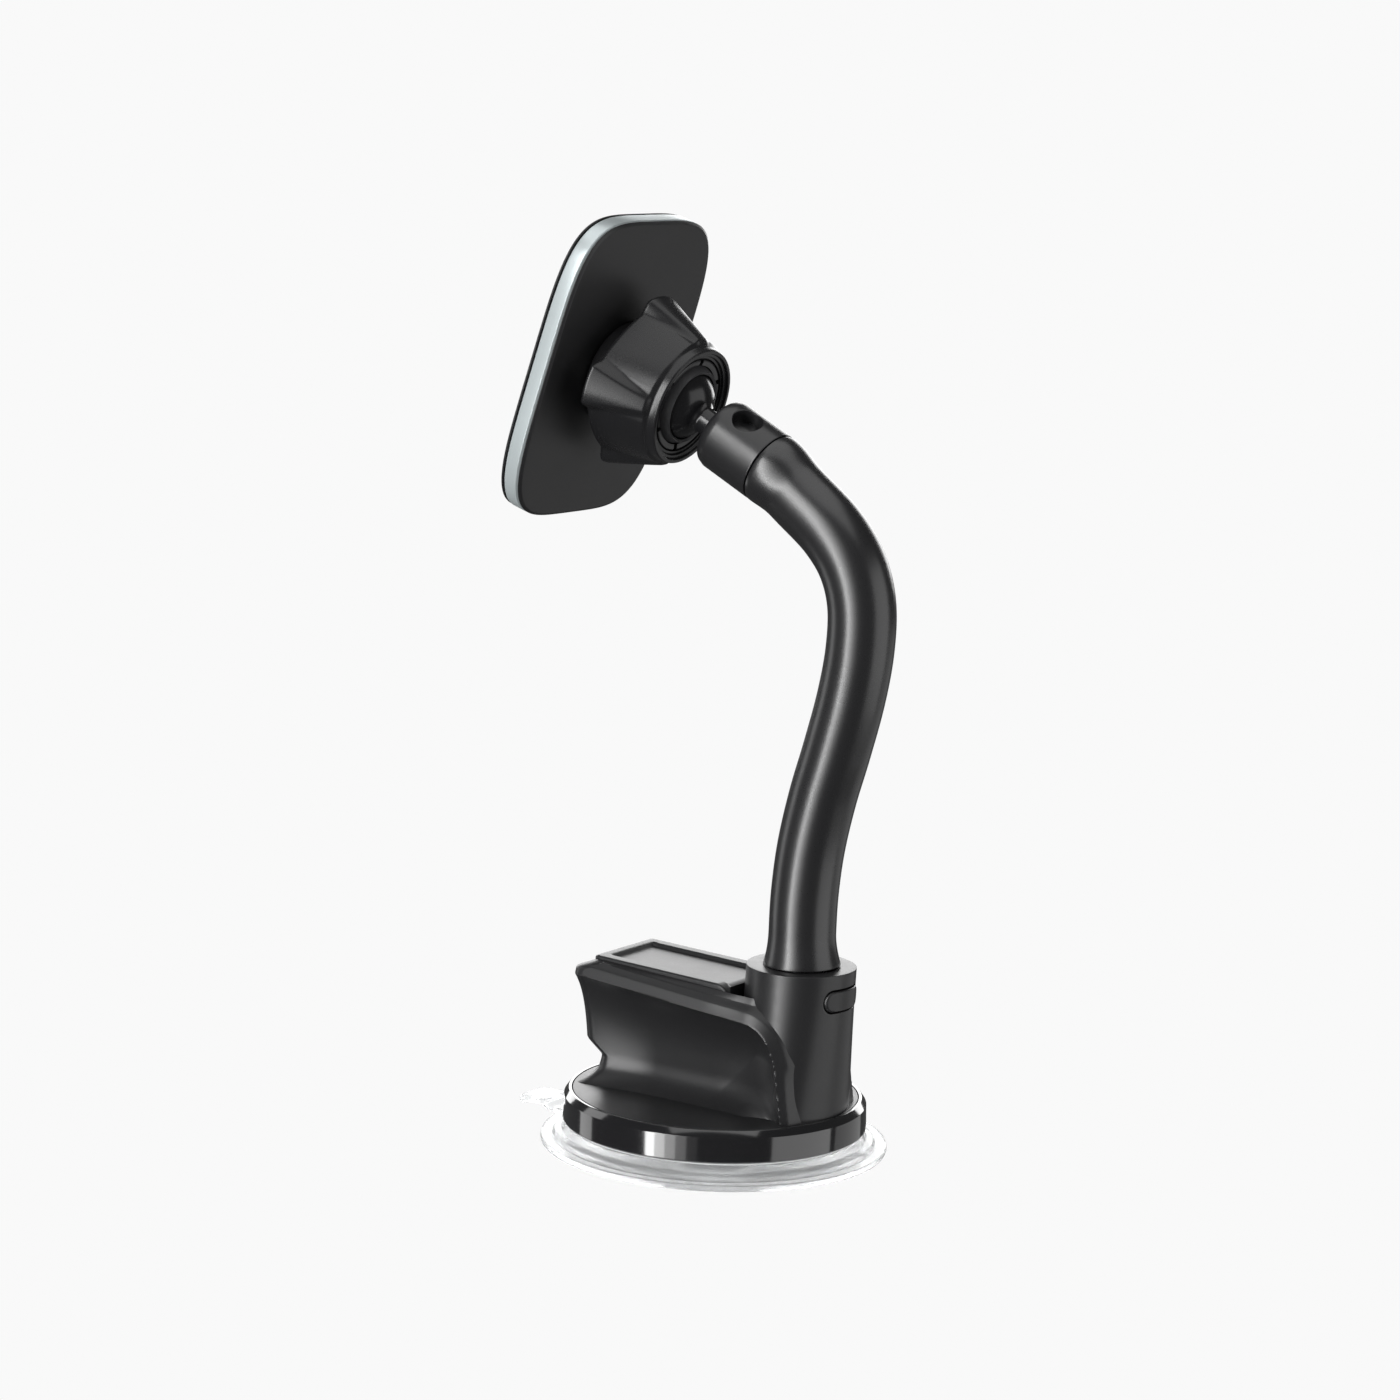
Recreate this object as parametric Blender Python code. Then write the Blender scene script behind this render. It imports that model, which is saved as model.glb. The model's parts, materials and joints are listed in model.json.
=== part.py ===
"""Car phone mount: suction base with lock lever, flexible arm, ball joint and magnetic head.

Row frame: metres, +Z up, origin at the middle of the suction pad on the surface it sticks to.
The plane x = 0 is the plane of symmetry. The lock lever points to -Y, and the tower that
holds the flexible arm stands at +Y. The head's magnetic face looks to -Y and slightly up.
"""
import math

import bmesh
import bpy
from mathutils import Matrix, Vector

MM = 0.001
GAP = 0.3 * MM

# ---- suction pad -----------------------------------------------------------------
PAD_R = 37.6 * MM
PAD_TOP = 4.3 * MM
PAD_POCKET_R = 9.0 * MM
PAD_POCKET_FLOOR = 1.8 * MM
TAB_HALF_WIDTH = 5.0 * MM
TAB_END = 49.0 * MM
TAB_TOP = 2.7 * MM

# ---- base ring, plate and housing ----------------------------------------------
RING_R = 33.0 * MM
RING_BOTTOM = 4.6 * MM
RING_EDGE = 10.3 * MM
BASE_TOP = 11.6 * MM
RING_BORE = 30.0 * MM
RING_REBATE = 31.2 * MM
RING_SHELF = 9.2 * MM
PLATE_TOP = 6.4 * MM
PLATE_HOLE = 9.4 * MM
SCREW_CIRCLE = 24.0 * MM
SCREW_ANGLES = (30.0, 150.0, 270.0)

# ---- housing: a tongue under the lever that grows into a round tower --------------
TOWER_Y = 20.6 * MM
TOWER_TOP = 43.0 * MM
TOWER_R_TOP = 11.8 * MM
TOWER_SPREAD = 2.4 * MM
BACK_LIMIT_FOOT = 30.9 * MM
BACK_LIMIT_TOP = 32.3 * MM
NOSE_Y = -29.2 * MM
NOSE_CORNER = 2.8 * MM
BAND_HALF = 14.9 * MM
BAND_DROP = 3.4 * MM
BAND_SLOPE_TOP = 0.38
BAND_SLOPE_REAR = 0.95
SCOOP_DEPTH = 7.2 * MM
SCOOP_DEPTH_NOSE = 4.6 * MM
SCOOP_RUN = 6.0 * MM
FOOT_START = 18.5 * MM
FOOT_SPREAD = 5.0 * MM
SCOOP_CORNER = 8.0 * MM
SCOOP_REAR = 23.2 * MM
SCOOP_SWEEP = 2.6 * MM
SIDE_COLUMNS = 12
CORNER_COLUMNS = 3
ARC_COLUMNS = 7
HOUSING_LEVELS = (0.0, 0.06, 0.15, 0.24, 0.34, 0.48, 0.62, 0.74, 0.84, 0.93, 1.0)

# ---- lock lever and its linkage ---------------------------------------------------
LEVER_HALF = 11.0 * MM
LEVER_NOSE = -26.0 * MM
LEVER_PIVOT = Vector((0.0, 5.8 * MM, 34.4 * MM))
LEVER_BARREL = 4.0 * MM
LEVER_TOP_NOSE = 39.5 * MM
LEVER_BOTTOM = 36.2 * MM
RECESS_HALF = 8.0 * MM
RECESS_START = -23.0 * MM
RECESS_DEPTH = 0.8 * MM
WELL_FLOOR = 33.5 * MM
PIN_R = 1.5 * MM
ROCKER_PIVOT = Vector((0.0, -6.0 * MM, 25.0 * MM))
CROSS_PIN_Z = 27.0 * MM
SMALL_PIN_R = 1.25 * MM
CAVITY_HALF = 6.4 * MM

# ---- pull stud -------------------------------------------------------------------
STUD_R = 3.0 * MM
STUD_FLANGE_R = 8.6 * MM
STUD_BOTTOM = 4.5 * MM
STUD_TOP = 29.2 * MM

# ---- arm button in the tower's back ------------------------------------------------
BUTTON_Z = 37.3 * MM
BUTTON_HALF_WIDTH = 6.3 * MM
BUTTON_HALF_HEIGHT = 2.25 * MM
LATCH_HALF_HEIGHT = 1.1 * MM
FOOT_R = 5.5 * MM
FOOT_BOTTOM = 24.0 * MM

# ---- flexible arm: route of its centre line as (y, z) in the plane of symmetry -----
NECK_ROUTE = (
    (20.6, 43.3), (20.4, 50.3), (20.6, 59.0), (21.7, 69.0), (24.0, 79.8), (27.0, 90.4), (29.9, 101.9),
    (31.5, 112.4), (31.35, 121.8), (28.7, 129.6), (23.6, 136.0), (16.0, 141.9), (7.4, 147.9),
)
NECK_R = 7.2 * MM
NECK_FLARE_R = 8.3 * MM
NECK_FLARE_LENGTH = 7.0 * MM
NECK_SWELL = 0.7 * MM
NECK_SWELL_LENGTH = 9.0 * MM
CORE_R = 4.3 * MM
SLEEVE_BORE = 4.6 * MM
NECK_JOINTS = (0.135, 0.285, 0.455, 0.760)
NECK_SIDES = 16

# ---- head: middle of the back cover, and the tilt of its back normal ---------------
HEAD_CENTRE = Vector((0.0, -32.7 * MM, 165.4 * MM))
HEAD_TILT = math.radians(-107.82)
HEAD_A = 24.9 * MM
HEAD_B = 33.7 * MM
HEAD_POWER = 4.37
HEAD_SIDES = 40

# ---- ball joint --------------------------------------------------------------------
BALL_R = 8.5 * MM
BALL_HEIGHT = 16.2 * MM
LINER_IN = 8.8 * MM
LINER_OUT = 9.4 * MM
COLLET_IN = 9.7 * MM
COLLET_OUT = 11.2 * MM
COLLET_END = 19.9 * MM
NUT_BOTTOM = 5.2 * MM
NUT_TOP = 21.0 * MM
NUT_LOBES = 4
COLLAR_FRONT = 12.2 * MM
COLLAR_R = 7.9 * MM
COLLAR_HOLE_R = 3.3 * MM
COLLAR_HOLE_AT = 19.7 * MM
COLLAR_HOLE_SWING = math.radians(24.5)   # round the collar toward +X
COLLAR_HOLE_DEPTHS = (4.8 * MM, 9.0 * MM)

for old in list(bpy.data.objects):
    bpy.data.objects.remove(old, do_unlink=True)


# ======================= materials =================================================
def material(name, colour, roughness, metallic=0.0, transmission=0.0):
    """Principled material with plain values."""
    mat = bpy.data.materials.new(name)
    mat.use_nodes = True
    shader = mat.node_tree.nodes["Principled BSDF"]
    shader.inputs["Base Color"].default_value = (*colour, 1.0)
    shader.inputs["Roughness"].default_value = roughness
    shader.inputs["Metallic"].default_value = metallic
    shader.inputs["Transmission Weight"].default_value = transmission
    mat.diffuse_color = (*colour, 1.0)
    return mat


SATIN_BLACK = material("satin_black", (0.022, 0.022, 0.024), 0.38)
GLOSS_BLACK = material("gloss_black", (0.012, 0.012, 0.013), 0.12)
SOFT_BLACK = material("soft_black", (0.026, 0.026, 0.028), 0.55)
CLEAR_TPU = material("clear_tpu", (0.85, 0.87, 0.88), 0.15, transmission=0.9)
STEEL = material("steel", (0.55, 0.56, 0.58), 0.28, metallic=1.0)
RIM_ALLOY = material("rim_alloy", (0.62, 0.66, 0.68), 0.30, metallic=1.0)
MAGNET_PLATE = material("magnet_plate", (0.60, 0.60, 0.60), 0.22, metallic=1.0)
NYLON = material("nylon", (0.08, 0.08, 0.085), 0.5)


# ======================= mesh helpers ==============================================
def add_object(name, bm, mat, matrix=None, smooth_deg=35.0):
    """Make an object from a bmesh, with outward faces, and place its mesh by matrix."""
    bmesh.ops.recalc_face_normals(bm, faces=bm.faces)
    mesh = bpy.data.meshes.new(name)
    bm.to_mesh(mesh)
    bm.free()
    mesh.materials.append(mat)
    mesh.shade_smooth()
    mesh.set_sharp_from_angle(angle=math.radians(smooth_deg))
    obj = bpy.data.objects.new(name, mesh)
    bpy.context.scene.collection.objects.link(obj)
    if matrix is not None:
        obj.matrix_world = matrix
    return obj


def loft(rings, closed=False):
    """Skin rings of equal length; ends are capped unless the rings form a closed tube."""
    bm = bmesh.new()
    rows = [[bm.verts.new(point) for point in ring] for ring in rings]
    count = len(rows[0])
    last = len(rows) if closed else len(rows) - 1
    for i in range(last):
        lower, upper = rows[i], rows[(i + 1) % len(rows)]
        for j in range(count):
            k = (j + 1) % count
            bm.faces.new((lower[j], lower[k], upper[k], upper[j]))
    if not closed:
        bm.faces.new(rows[0])
        bm.faces.new(rows[-1])
    return bm


def turned(profile, sides=48):
    """Turn (radius, height) points about Z, the corners half a step off the axes.

    A profile that starts and ends on the axis is closed by flat caps or by poles,
    and any other profile closes on itself as a ring.
    """
    bm = bmesh.new()
    step = 2.0 * math.pi / sides
    angles = [step * (j + 0.5) for j in range(sides)]
    rows = []
    for radius, height in profile:
        if radius <= 0.0:
            rows.append([bm.verts.new((0.0, 0.0, height))])
            continue
        rows.append([bm.verts.new((radius * math.cos(a), radius * math.sin(a), height)) for a in angles])
    ends_on_axis = len(rows[0]) == 1 and len(rows[-1]) == 1
    last = len(rows) - 1 if ends_on_axis else len(rows)
    for i in range(last):
        lower, upper = rows[i], rows[(i + 1) % len(rows)]
        flat = abs(profile[i][1] - profile[(i + 1) % len(rows)][1]) < 1e-9
        if flat and len(lower) == 1:
            bm.faces.new(upper)
            bm.verts.remove(lower[0])
            continue
        if flat and len(upper) == 1:
            bm.faces.new(lower)
            bm.verts.remove(upper[0])
            continue
        for j in range(sides):
            k = (j + 1) % sides
            if len(lower) == 1:
                bm.faces.new((lower[0], upper[k], upper[j]))
            elif len(upper) == 1:
                bm.faces.new((lower[j], lower[k], upper[0]))
            else:
                bm.faces.new((lower[j], lower[k], upper[k], upper[j]))
    return bm


def cylinder(radius, low, high, sides=32):
    """Solid cylinder about Z between two heights."""
    return turned([(0.0, low), (radius, low), (radius, high), (0.0, high)], sides)


def box(low, high):
    """Axis-aligned box from its low and high corners."""
    x0, y0, z0 = low
    x1, y1, z1 = high
    return loft([
        [(x0, y0, z0), (x1, y0, z0), (x1, y1, z0), (x0, y1, z0)],
        [(x0, y0, z1), (x1, y0, z1), (x1, y1, z1), (x0, y1, z1)],
    ])


def side_profile(points, half):
    """Solid from a (y, z) outline, extruded along X from -half to +half."""
    return loft([[(x, y, z) for y, z in points] for x in (-half, half)])


def arc(centre, radius, start_deg, end_deg, steps):
    """Points on a circular arc in a plane, end points included."""
    points = []
    for i in range(steps + 1):
        angle = math.radians(start_deg + (end_deg - start_deg) * i / steps)
        points.append((centre[0] + radius * math.cos(angle), centre[1] + radius * math.sin(angle)))
    return points


def along_x(offset=(0.0, 0.0, 0.0)):
    """Matrix that lays a piece made about Z along X, through a point."""
    return Matrix.Translation(offset) @ Matrix.Rotation(math.radians(90.0), 4, "Y")


def carve(target, cutter_bm, name, operation="DIFFERENCE", matrix=None):
    """Cut from, or join to, the target with a hidden solid."""
    cutter = add_object(name, cutter_bm, target.data.materials[0], matrix)
    cutter.hide_render = True
    cutter.display_type = "WIRE"
    cutter.parent = target
    cutter.matrix_parent_inverse = target.matrix_world.inverted()
    modifier = target.modifiers.new(name, "BOOLEAN")
    modifier.operation = operation
    modifier.object = cutter
    return cutter


# ======================= suction pad and ring ======================================
def make_suction_pad():
    """Clear disc with a rising shoulder, a pocket for the stud and a pull tab at -Y."""
    profile = [
        (0.0, 0.0), (PAD_R - 0.4 * MM, 0.0), (PAD_R, 0.4 * MM), (PAD_R - 0.2 * MM, 1.3 * MM),
        (34.6 * MM, 2.3 * MM), (33.2 * MM, 3.1 * MM), (31.8 * MM, PAD_TOP),
        (PAD_POCKET_R, PAD_TOP), (PAD_POCKET_R, PAD_POCKET_FLOOR), (0.0, PAD_POCKET_FLOOR),
    ]
    pad = add_object("suction_pad", turned(profile, 48), CLEAR_TPU)
    root, web, grip = -(PAD_R - 2.5 * MM), -41.6 * MM, -TAB_END
    outline = [
        (root, 0.15 * MM), (web, 0.15 * MM), (web - 1.0 * MM, 0.7 * MM), (grip + 2.0 * MM, 0.8 * MM),
        (grip, 0.3 * MM), (grip, TAB_TOP - 0.5 * MM), (grip + 1.2 * MM, TAB_TOP), (web - 0.6 * MM, TAB_TOP),
        (web + 0.6 * MM, 1.2 * MM), (root, 1.2 * MM),
    ]
    carve(pad, side_profile(outline, TAB_HALF_WIDTH), "tab_solid", "UNION")


def make_base_ring():
    """Gloss ring with a chamfered shoulder and a rebate that takes the housing's edge."""
    profile = [
        (RING_BORE, RING_BOTTOM), (RING_R - 0.5 * MM, RING_BOTTOM), (RING_R, RING_BOTTOM + 0.5 * MM),
        (RING_R, RING_EDGE), (RING_R - 0.35 * MM, RING_EDGE + 0.45 * MM), (RING_R - 1.4 * MM, BASE_TOP),
        (RING_REBATE, BASE_TOP), (RING_REBATE, RING_SHELF), (RING_BORE, RING_SHELF),
    ]
    add_object("base_ring", turned(profile, 48), GLOSS_BLACK)


def screw_spots():
    """Places of the base screws on their circle."""
    for angle in SCREW_ANGLES:
        turn = math.radians(angle)
        yield Vector((SCREW_CIRCLE * math.cos(turn), SCREW_CIRCLE * math.sin(turn), 0.0))


def make_base_plate():
    """Steel plate that closes the housing and presses on the pad's shoulder."""
    profile = [
        (PLATE_HOLE, RING_BOTTOM), (RING_BORE - 0.4 * MM, RING_BOTTOM),
        (RING_BORE - 0.4 * MM, PLATE_TOP), (PLATE_HOLE, PLATE_TOP),
    ]
    plate = add_object("base_plate", turned(profile, 40), STEEL)
    seat = [(0.0, 4.0 * MM), (3.1 * MM, 4.0 * MM), (3.1 * MM, 4.75 * MM), (1.8 * MM, 6.1 * MM),
            (1.8 * MM, 7.0 * MM), (0.0, 7.0 * MM)]
    for number, spot in enumerate(screw_spots(), 1):
        carve(plate, turned(seat, 14), f"screw_seat_{number}", matrix=Matrix.Translation(spot))


def make_base_screws():
    """Three countersunk screws from below, each with a hexagon recess."""
    body = [(0.0, 4.7 * MM), (2.7 * MM, 4.7 * MM), (2.7 * MM, 4.85 * MM), (1.4 * MM, 6.2 * MM),
            (1.4 * MM, 10.0 * MM), (0.9 * MM, 10.5 * MM), (0.0, 10.5 * MM)]
    for number, spot in enumerate(screw_spots(), 1):
        place = Matrix.Translation(spot)
        screw = add_object(f"base_screw_{number}", turned(body, 14), STEEL, place)
        carve(screw, cylinder(1.0 * MM, 4.0 * MM, 5.8 * MM, 6), f"screw_drive_{number}", matrix=place)


# ======================= housing ===================================================
def rim_height(y):
    """Height of the outer rim line of the deck, falling towards the tower."""
    return 38.7 * MM - 0.083 * (y + 24.2 * MM)


def scoop_inset(y, z):
    """How far a point of the side view lies inside the scooped panel (negative on its band)."""
    sweep = SCOOP_SWEEP * min(max((FOOT_START + SCOOP_CORNER - z) / (15.0 * MM), 0.0), 1.0)
    corner_y = SCOOP_REAR + sweep - SCOOP_CORNER
    corner_z = rim_height(y) - BAND_DROP - SCOOP_CORNER
    dy, dz = y - corner_y, z - corner_z
    if dy > 0.0 and dz > 0.0:
        return SCOOP_CORNER - math.hypot(dy, dz)
    return SCOOP_CORNER - max(dy, dz)


def tower_radius(z):
    """Radius of the tower at a height, spreading towards its foot."""
    drop = (TOWER_TOP - z) / (TOWER_TOP - BASE_TOP)
    return TOWER_R_TOP + TOWER_SPREAD * max(drop, 0.0) ** 1.5


def within_base(x, y, z):
    """Point pulled in to the round limit that keeps the tower's back inside the base ring."""
    rise = min(max((z - BASE_TOP) / (TOWER_TOP - BASE_TOP), 0.0), 1.0)
    limit = BACK_LIMIT_FOOT + (BACK_LIMIT_TOP - BACK_LIMIT_FOOT) * rise
    reach = math.hypot(x, y)
    pull = min(1.0, limit / reach)
    return (x * pull, y * pull, z)


def smooth(low, high, value):
    """Smooth step from 0 at low to 1 at high."""
    t = min(max((value - low) / (high - low), 0.0), 1.0)
    return t * t * (3.0 - 2.0 * t)


def side_half_width(y, z):
    """Half-width of the housing in the side view: flat band, then the scoop, then the foot."""
    inset = scoop_inset(y, z)
    dy = max(y - (SCOOP_REAR - SCOOP_CORNER), 0.0)
    dz = max(z - (rim_height(y) - BAND_DROP - SCOOP_CORNER), 0.0)
    turn = math.atan2(dz, dy + 1e-9) / (math.pi / 2.0)
    top_slope = BAND_SLOPE_TOP + 0.14 * smooth(5 * MM, 15 * MM, y)
    slope = BAND_SLOPE_REAR + (top_slope - BAND_SLOPE_REAR) * smooth(0.1, 1.0, turn)
    width = BAND_HALF - 0.5 * MM * smooth(5 * MM, 22 * MM, y)
    if inset > 0.0:
        depth = SCOOP_DEPTH_NOSE + (SCOOP_DEPTH - SCOOP_DEPTH_NOSE) * smooth(-29 * MM, -10 * MM, y)
        width -= depth * (1.0 - math.exp(-inset / SCOOP_RUN))
    else:
        width += slope * inset
    foot = min(max(FOOT_START - z, 0.0) / (FOOT_START - BASE_TOP), 1.2)
    return width + FOOT_SPREAD * foot ** 3 * (1.0 - smooth(14 * MM, 25 * MM, y))


def nose_reach(z):
    """Front of the nose at a height: chamfer, plain face, undercut and a foot fillet."""
    if z > rim_height(NOSE_Y) - 1.9 * MM:
        return NOSE_Y + 3.6 * MM * (z - rim_height(NOSE_Y) + 1.9 * MM) / (1.9 * MM)
    if z > 20.5 * MM:
        return NOSE_Y + 0.9 * MM * (37.0 * MM - z) / (16.5 * MM)
    if z > 17.0 * MM:
        return NOSE_Y + 0.9 * MM + 3.5 * MM * (20.5 * MM - z) / (3.5 * MM)
    foot = max(0.0, 15.0 * MM - z) / (15.0 * MM - BASE_TOP)
    return NOSE_Y + 4.4 * MM - 2.6 * MM * foot * foot


def half_outline(level):
    """One half of the housing's outline at a level between the base top and the rim."""
    def lift(y):
        return BASE_TOP + (rim_height(y) - BASE_TOP) * level

    nose_z = lift(NOSE_Y)
    nose_y = nose_reach(nose_z)
    corner = (side_half_width(nose_y + NOSE_CORNER, nose_z) - NOSE_CORNER, nose_y + NOSE_CORNER)
    points = [(0.0, nose_y, nose_z)]
    for x, y in arc(corner, NOSE_CORNER, -90.0, 0.0, CORNER_COLUMNS)[:-1]:
        points.append((x, y, lift(y)))
    rim_join = 19.0 * MM
    foot_join = 27.2 * MM
    join_y = rim_join + (foot_join - rim_join) * (1.0 - level) ** 0.5
    start = nose_y + NOSE_CORNER
    for i in range(SIDE_COLUMNS):
        y = start + (join_y - start) * i / SIDE_COLUMNS
        z = lift(y)
        points.append((side_half_width(y, z), y, z))
    radius = tower_radius(lift(join_y))
    first = math.asin(min((join_y - TOWER_Y) / radius, 1.0))
    for i in range(ARC_COLUMNS):
        angle = first + (math.pi / 2.0 - first) * i / ARC_COLUMNS
        y = TOWER_Y + radius * math.sin(angle)
        points.append(within_base(radius * math.cos(angle), y, lift(y)))
    back = TOWER_Y + radius
    points.append(within_base(0.0, back, lift(back)))
    return points


def tower_ring(z, inset=0.0, sides=44):
    """Outline of the tower at a height."""
    radius = tower_radius(z) - inset
    ring = []
    for j in range(sides):
        angle = 2.0 * math.pi * (j + 0.5) / sides
        ring.append(within_base(radius * math.cos(angle), TOWER_Y + radius * math.sin(angle), z))
    return ring


def full_outline(level):
    """Half outline and its mirror image as one ring."""
    half = half_outline(level)
    mirrored = [(-x, y, z) for x, y, z in reversed(half[1:-1])]
    return half + mirrored


def make_housing():
    """Moulded housing: base disc, scooped tongue, tower, and the cavities inside."""
    rings = [full_outline(level) for level in HOUSING_LEVELS]
    sunk = [(x, y, z - 1.0 * MM) for x, y, z in rings[0]]
    housing = add_object("base_housing", loft([sunk] + rings), SATIN_BLACK)
    tower = [tower_ring(22.3 * MM, 0.4 * MM), tower_ring(30.0 * MM), tower_ring(37.0 * MM),
             tower_ring(TOWER_TOP - 0.5 * MM), tower_ring(TOWER_TOP, 0.5 * MM)]
    carve(housing, loft(tower), "tower_solid", "UNION")
    at_tower = Matrix.Translation((0.0, TOWER_Y, 0.0))
    disc = [(0.0, 6.7 * MM), (29.7 * MM, 6.7 * MM), (29.7 * MM, 9.5 * MM), (30.9 * MM, 9.5 * MM),
            (30.9 * MM, BASE_TOP), (0.0, BASE_TOP)]
    carve(housing, turned(disc, 48), "disc_solid", "UNION")
    carve_housing_hollows(housing, at_tower)


def carve_housing_hollows(housing, at_tower):
    """Lever well, mechanism cavities, arm bore, latch pocket and pin holes."""
    hollow = [(0.0, 6.0 * MM), (27.9 * MM, 6.0 * MM), (27.9 * MM, 9.9 * MM), (0.0, 9.9 * MM)]
    carve(housing, turned(hollow, 40), "under_hollow")
    for number, spot in enumerate(screw_spots(), 1):
        place = Matrix.Translation(spot)
        carve(housing, cylinder(3.2 * MM, 6.75 * MM, 10.7 * MM, 14), f"boss_{number}", "UNION", place)
        carve(housing, cylinder(1.7 * MM, 6.0 * MM, 10.8 * MM, 10), f"boss_hole_{number}", matrix=place)
    half = LEVER_HALF + 0.4 * MM
    well = [(-32.0 * MM, WELL_FLOOR), (LEVER_PIVOT.y, WELL_FLOOR), (LEVER_PIVOT.y, 48.0 * MM),
            (-32.0 * MM, 48.0 * MM)]
    carve(housing, side_profile(well, half), "lever_well")
    carve(housing, cylinder(LEVER_BARREL + 0.45 * MM, -half, half, 30), "barrel_pocket",
          matrix=along_x(LEVER_PIVOT))
    roof = [(LEVER_PIVOT.y - 1.0 * MM, LEVER_PIVOT.z), (8.4 * MM, LEVER_PIVOT.z), (8.4 * MM, 48.0 * MM),
            (LEVER_PIVOT.y - 1.0 * MM, 48.0 * MM)]
    carve(housing, side_profile(roof, half), "tail_slot")
    carve(housing, box((-CAVITY_HALF, -22.0 * MM, 19.5 * MM), (CAVITY_HALF, 3.8 * MM, 34.0 * MM)), "upper_cavity")
    carve(housing, box((-CAVITY_HALF, -18.0 * MM, 9.0 * MM), (CAVITY_HALF, 14.0 * MM, 18.0 * MM)), "lower_cavity")
    carve(housing, cylinder(STUD_R + 0.4 * MM, 17.0 * MM, 20.5 * MM, 24), "stud_hole")
    carve(housing, cylinder(8.7 * MM, 9.1 * MM, 22.0 * MM, 26), "tower_hollow", matrix=at_tower)
    carve(housing, cylinder(FOOT_R + GAP, 20.0 * MM, 50.0 * MM, 28), "arm_bore", matrix=at_tower)
    carve(housing, box((-8.6 * MM, 10.8 * MM, 35.7 * MM), (8.6 * MM, 28.3 * MM, 38.9 * MM)), "latch_pocket")
    carve(housing, pill(BUTTON_HALF_WIDTH + 0.35 * MM, BUTTON_HALF_HEIGHT + 0.35 * MM, 26.5 * MM, 36.0 * MM),
          "button_window")
    carve(housing, cylinder(PIN_R + 0.25 * MM, -13.0 * MM, 13.0 * MM, 20), "pivot_hole",
          matrix=along_x(LEVER_PIVOT))
    carve(housing, cylinder(SMALL_PIN_R + 0.25 * MM, -8.1 * MM, 8.1 * MM, 16), "rocker_hole",
          matrix=along_x(ROCKER_PIVOT))


def pill(half_width, half_height, front, back):
    """Flat-sided bar with round ends, along Y, at the button's height."""
    straight = half_width - half_height
    outline = arc((straight, BUTTON_Z), half_height, -90.0, 90.0, 8)
    outline += arc((-straight, BUTTON_Z), half_height, 90.0, 270.0, 8)
    return loft([[(x, y, z) for x, z in outline] for y in (front, back)])


# ======================= lever, linkage and button =================================
def make_lever():
    """Lock lever: top plate with a finger recess, hinge barrel and a push boss."""
    py, pz = LEVER_PIVOT.y, LEVER_PIVOT.z
    top_end = pz + LEVER_BARREL
    outline = [(LEVER_NOSE + 1.4 * MM, LEVER_BOTTOM), (LEVER_NOSE, 37.2 * MM), (LEVER_NOSE + 0.2 * MM, 39.0 * MM),
               (LEVER_NOSE + 1.0 * MM, LEVER_TOP_NOSE)]
    outline += arc((py, pz), LEVER_BARREL, 90.0, -90.0, 12)
    outline += [(py - 3.2 * MM, pz - LEVER_BARREL + 1.2 * MM), (py - 5.0 * MM, LEVER_BOTTOM)]
    lever = add_object("lock_lever", side_profile(outline, LEVER_HALF), SATIN_BLACK)
    slope = (top_end - LEVER_TOP_NOSE) / (py - LEVER_NOSE - 1.0 * MM)
    floor_start = LEVER_TOP_NOSE + slope * (RECESS_START - LEVER_NOSE - 1.0 * MM) - RECESS_DEPTH
    recess = [(RECESS_START, floor_start)]
    recess += arc((py, pz), LEVER_BARREL - RECESS_DEPTH, 90.0, 0.0, 8)
    recess += [(py + 8.0 * MM, pz), (py + 8.0 * MM, 46.0 * MM), (RECESS_START - 0.6 * MM, 46.0 * MM)]
    carve(lever, side_profile(recess, RECESS_HALF), "finger_recess")
    carve(lever, box((-4.0 * MM, -12.6 * MM, 26.8 * MM), (4.0 * MM, -9.6 * MM, 37.0 * MM)), "push_boss", "UNION")
    carve(lever, cylinder(PIN_R + 0.25 * MM, -14.0 * MM, 14.0 * MM, 20), "lever_bore", matrix=along_x(LEVER_PIVOT))
    add_object("lever_pivot_pin", cylinder(PIN_R, -12.7 * MM, 12.7 * MM, 20), STEEL, along_x(LEVER_PIVOT))


def make_rocker():
    """Rocker that turns the lever's push into the stud's lift, with a forked rear end."""
    py, pz = ROCKER_PIVOT.y, ROCKER_PIVOT.z
    outline = [(-13.0 * MM, 23.6 * MM)]
    outline += arc((py, pz), 2.5 * MM, 215.0, 325.0, 6)
    outline += [(0.9 * MM, 23.6 * MM), (0.9 * MM, 25.4 * MM)]
    outline += arc((py, pz), 2.5 * MM, 15.0, 150.0, 6)
    outline += [(-13.0 * MM, 26.3 * MM)]
    rocker = add_object("rocker_arm", side_profile(outline, 4.9 * MM), NYLON)
    carve(rocker, box((-3.4 * MM, -3.3 * MM, 20.0 * MM), (3.4 * MM, 4.0 * MM, 30.0 * MM)), "fork_gap")
    carve(rocker, cylinder(SMALL_PIN_R + 0.25 * MM, -9.0 * MM, 9.0 * MM, 16), "rocker_bore",
          matrix=along_x(ROCKER_PIVOT))
    add_object("rocker_pin", cylinder(SMALL_PIN_R, -7.8 * MM, 7.8 * MM, 16), STEEL, along_x(ROCKER_PIVOT))


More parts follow.
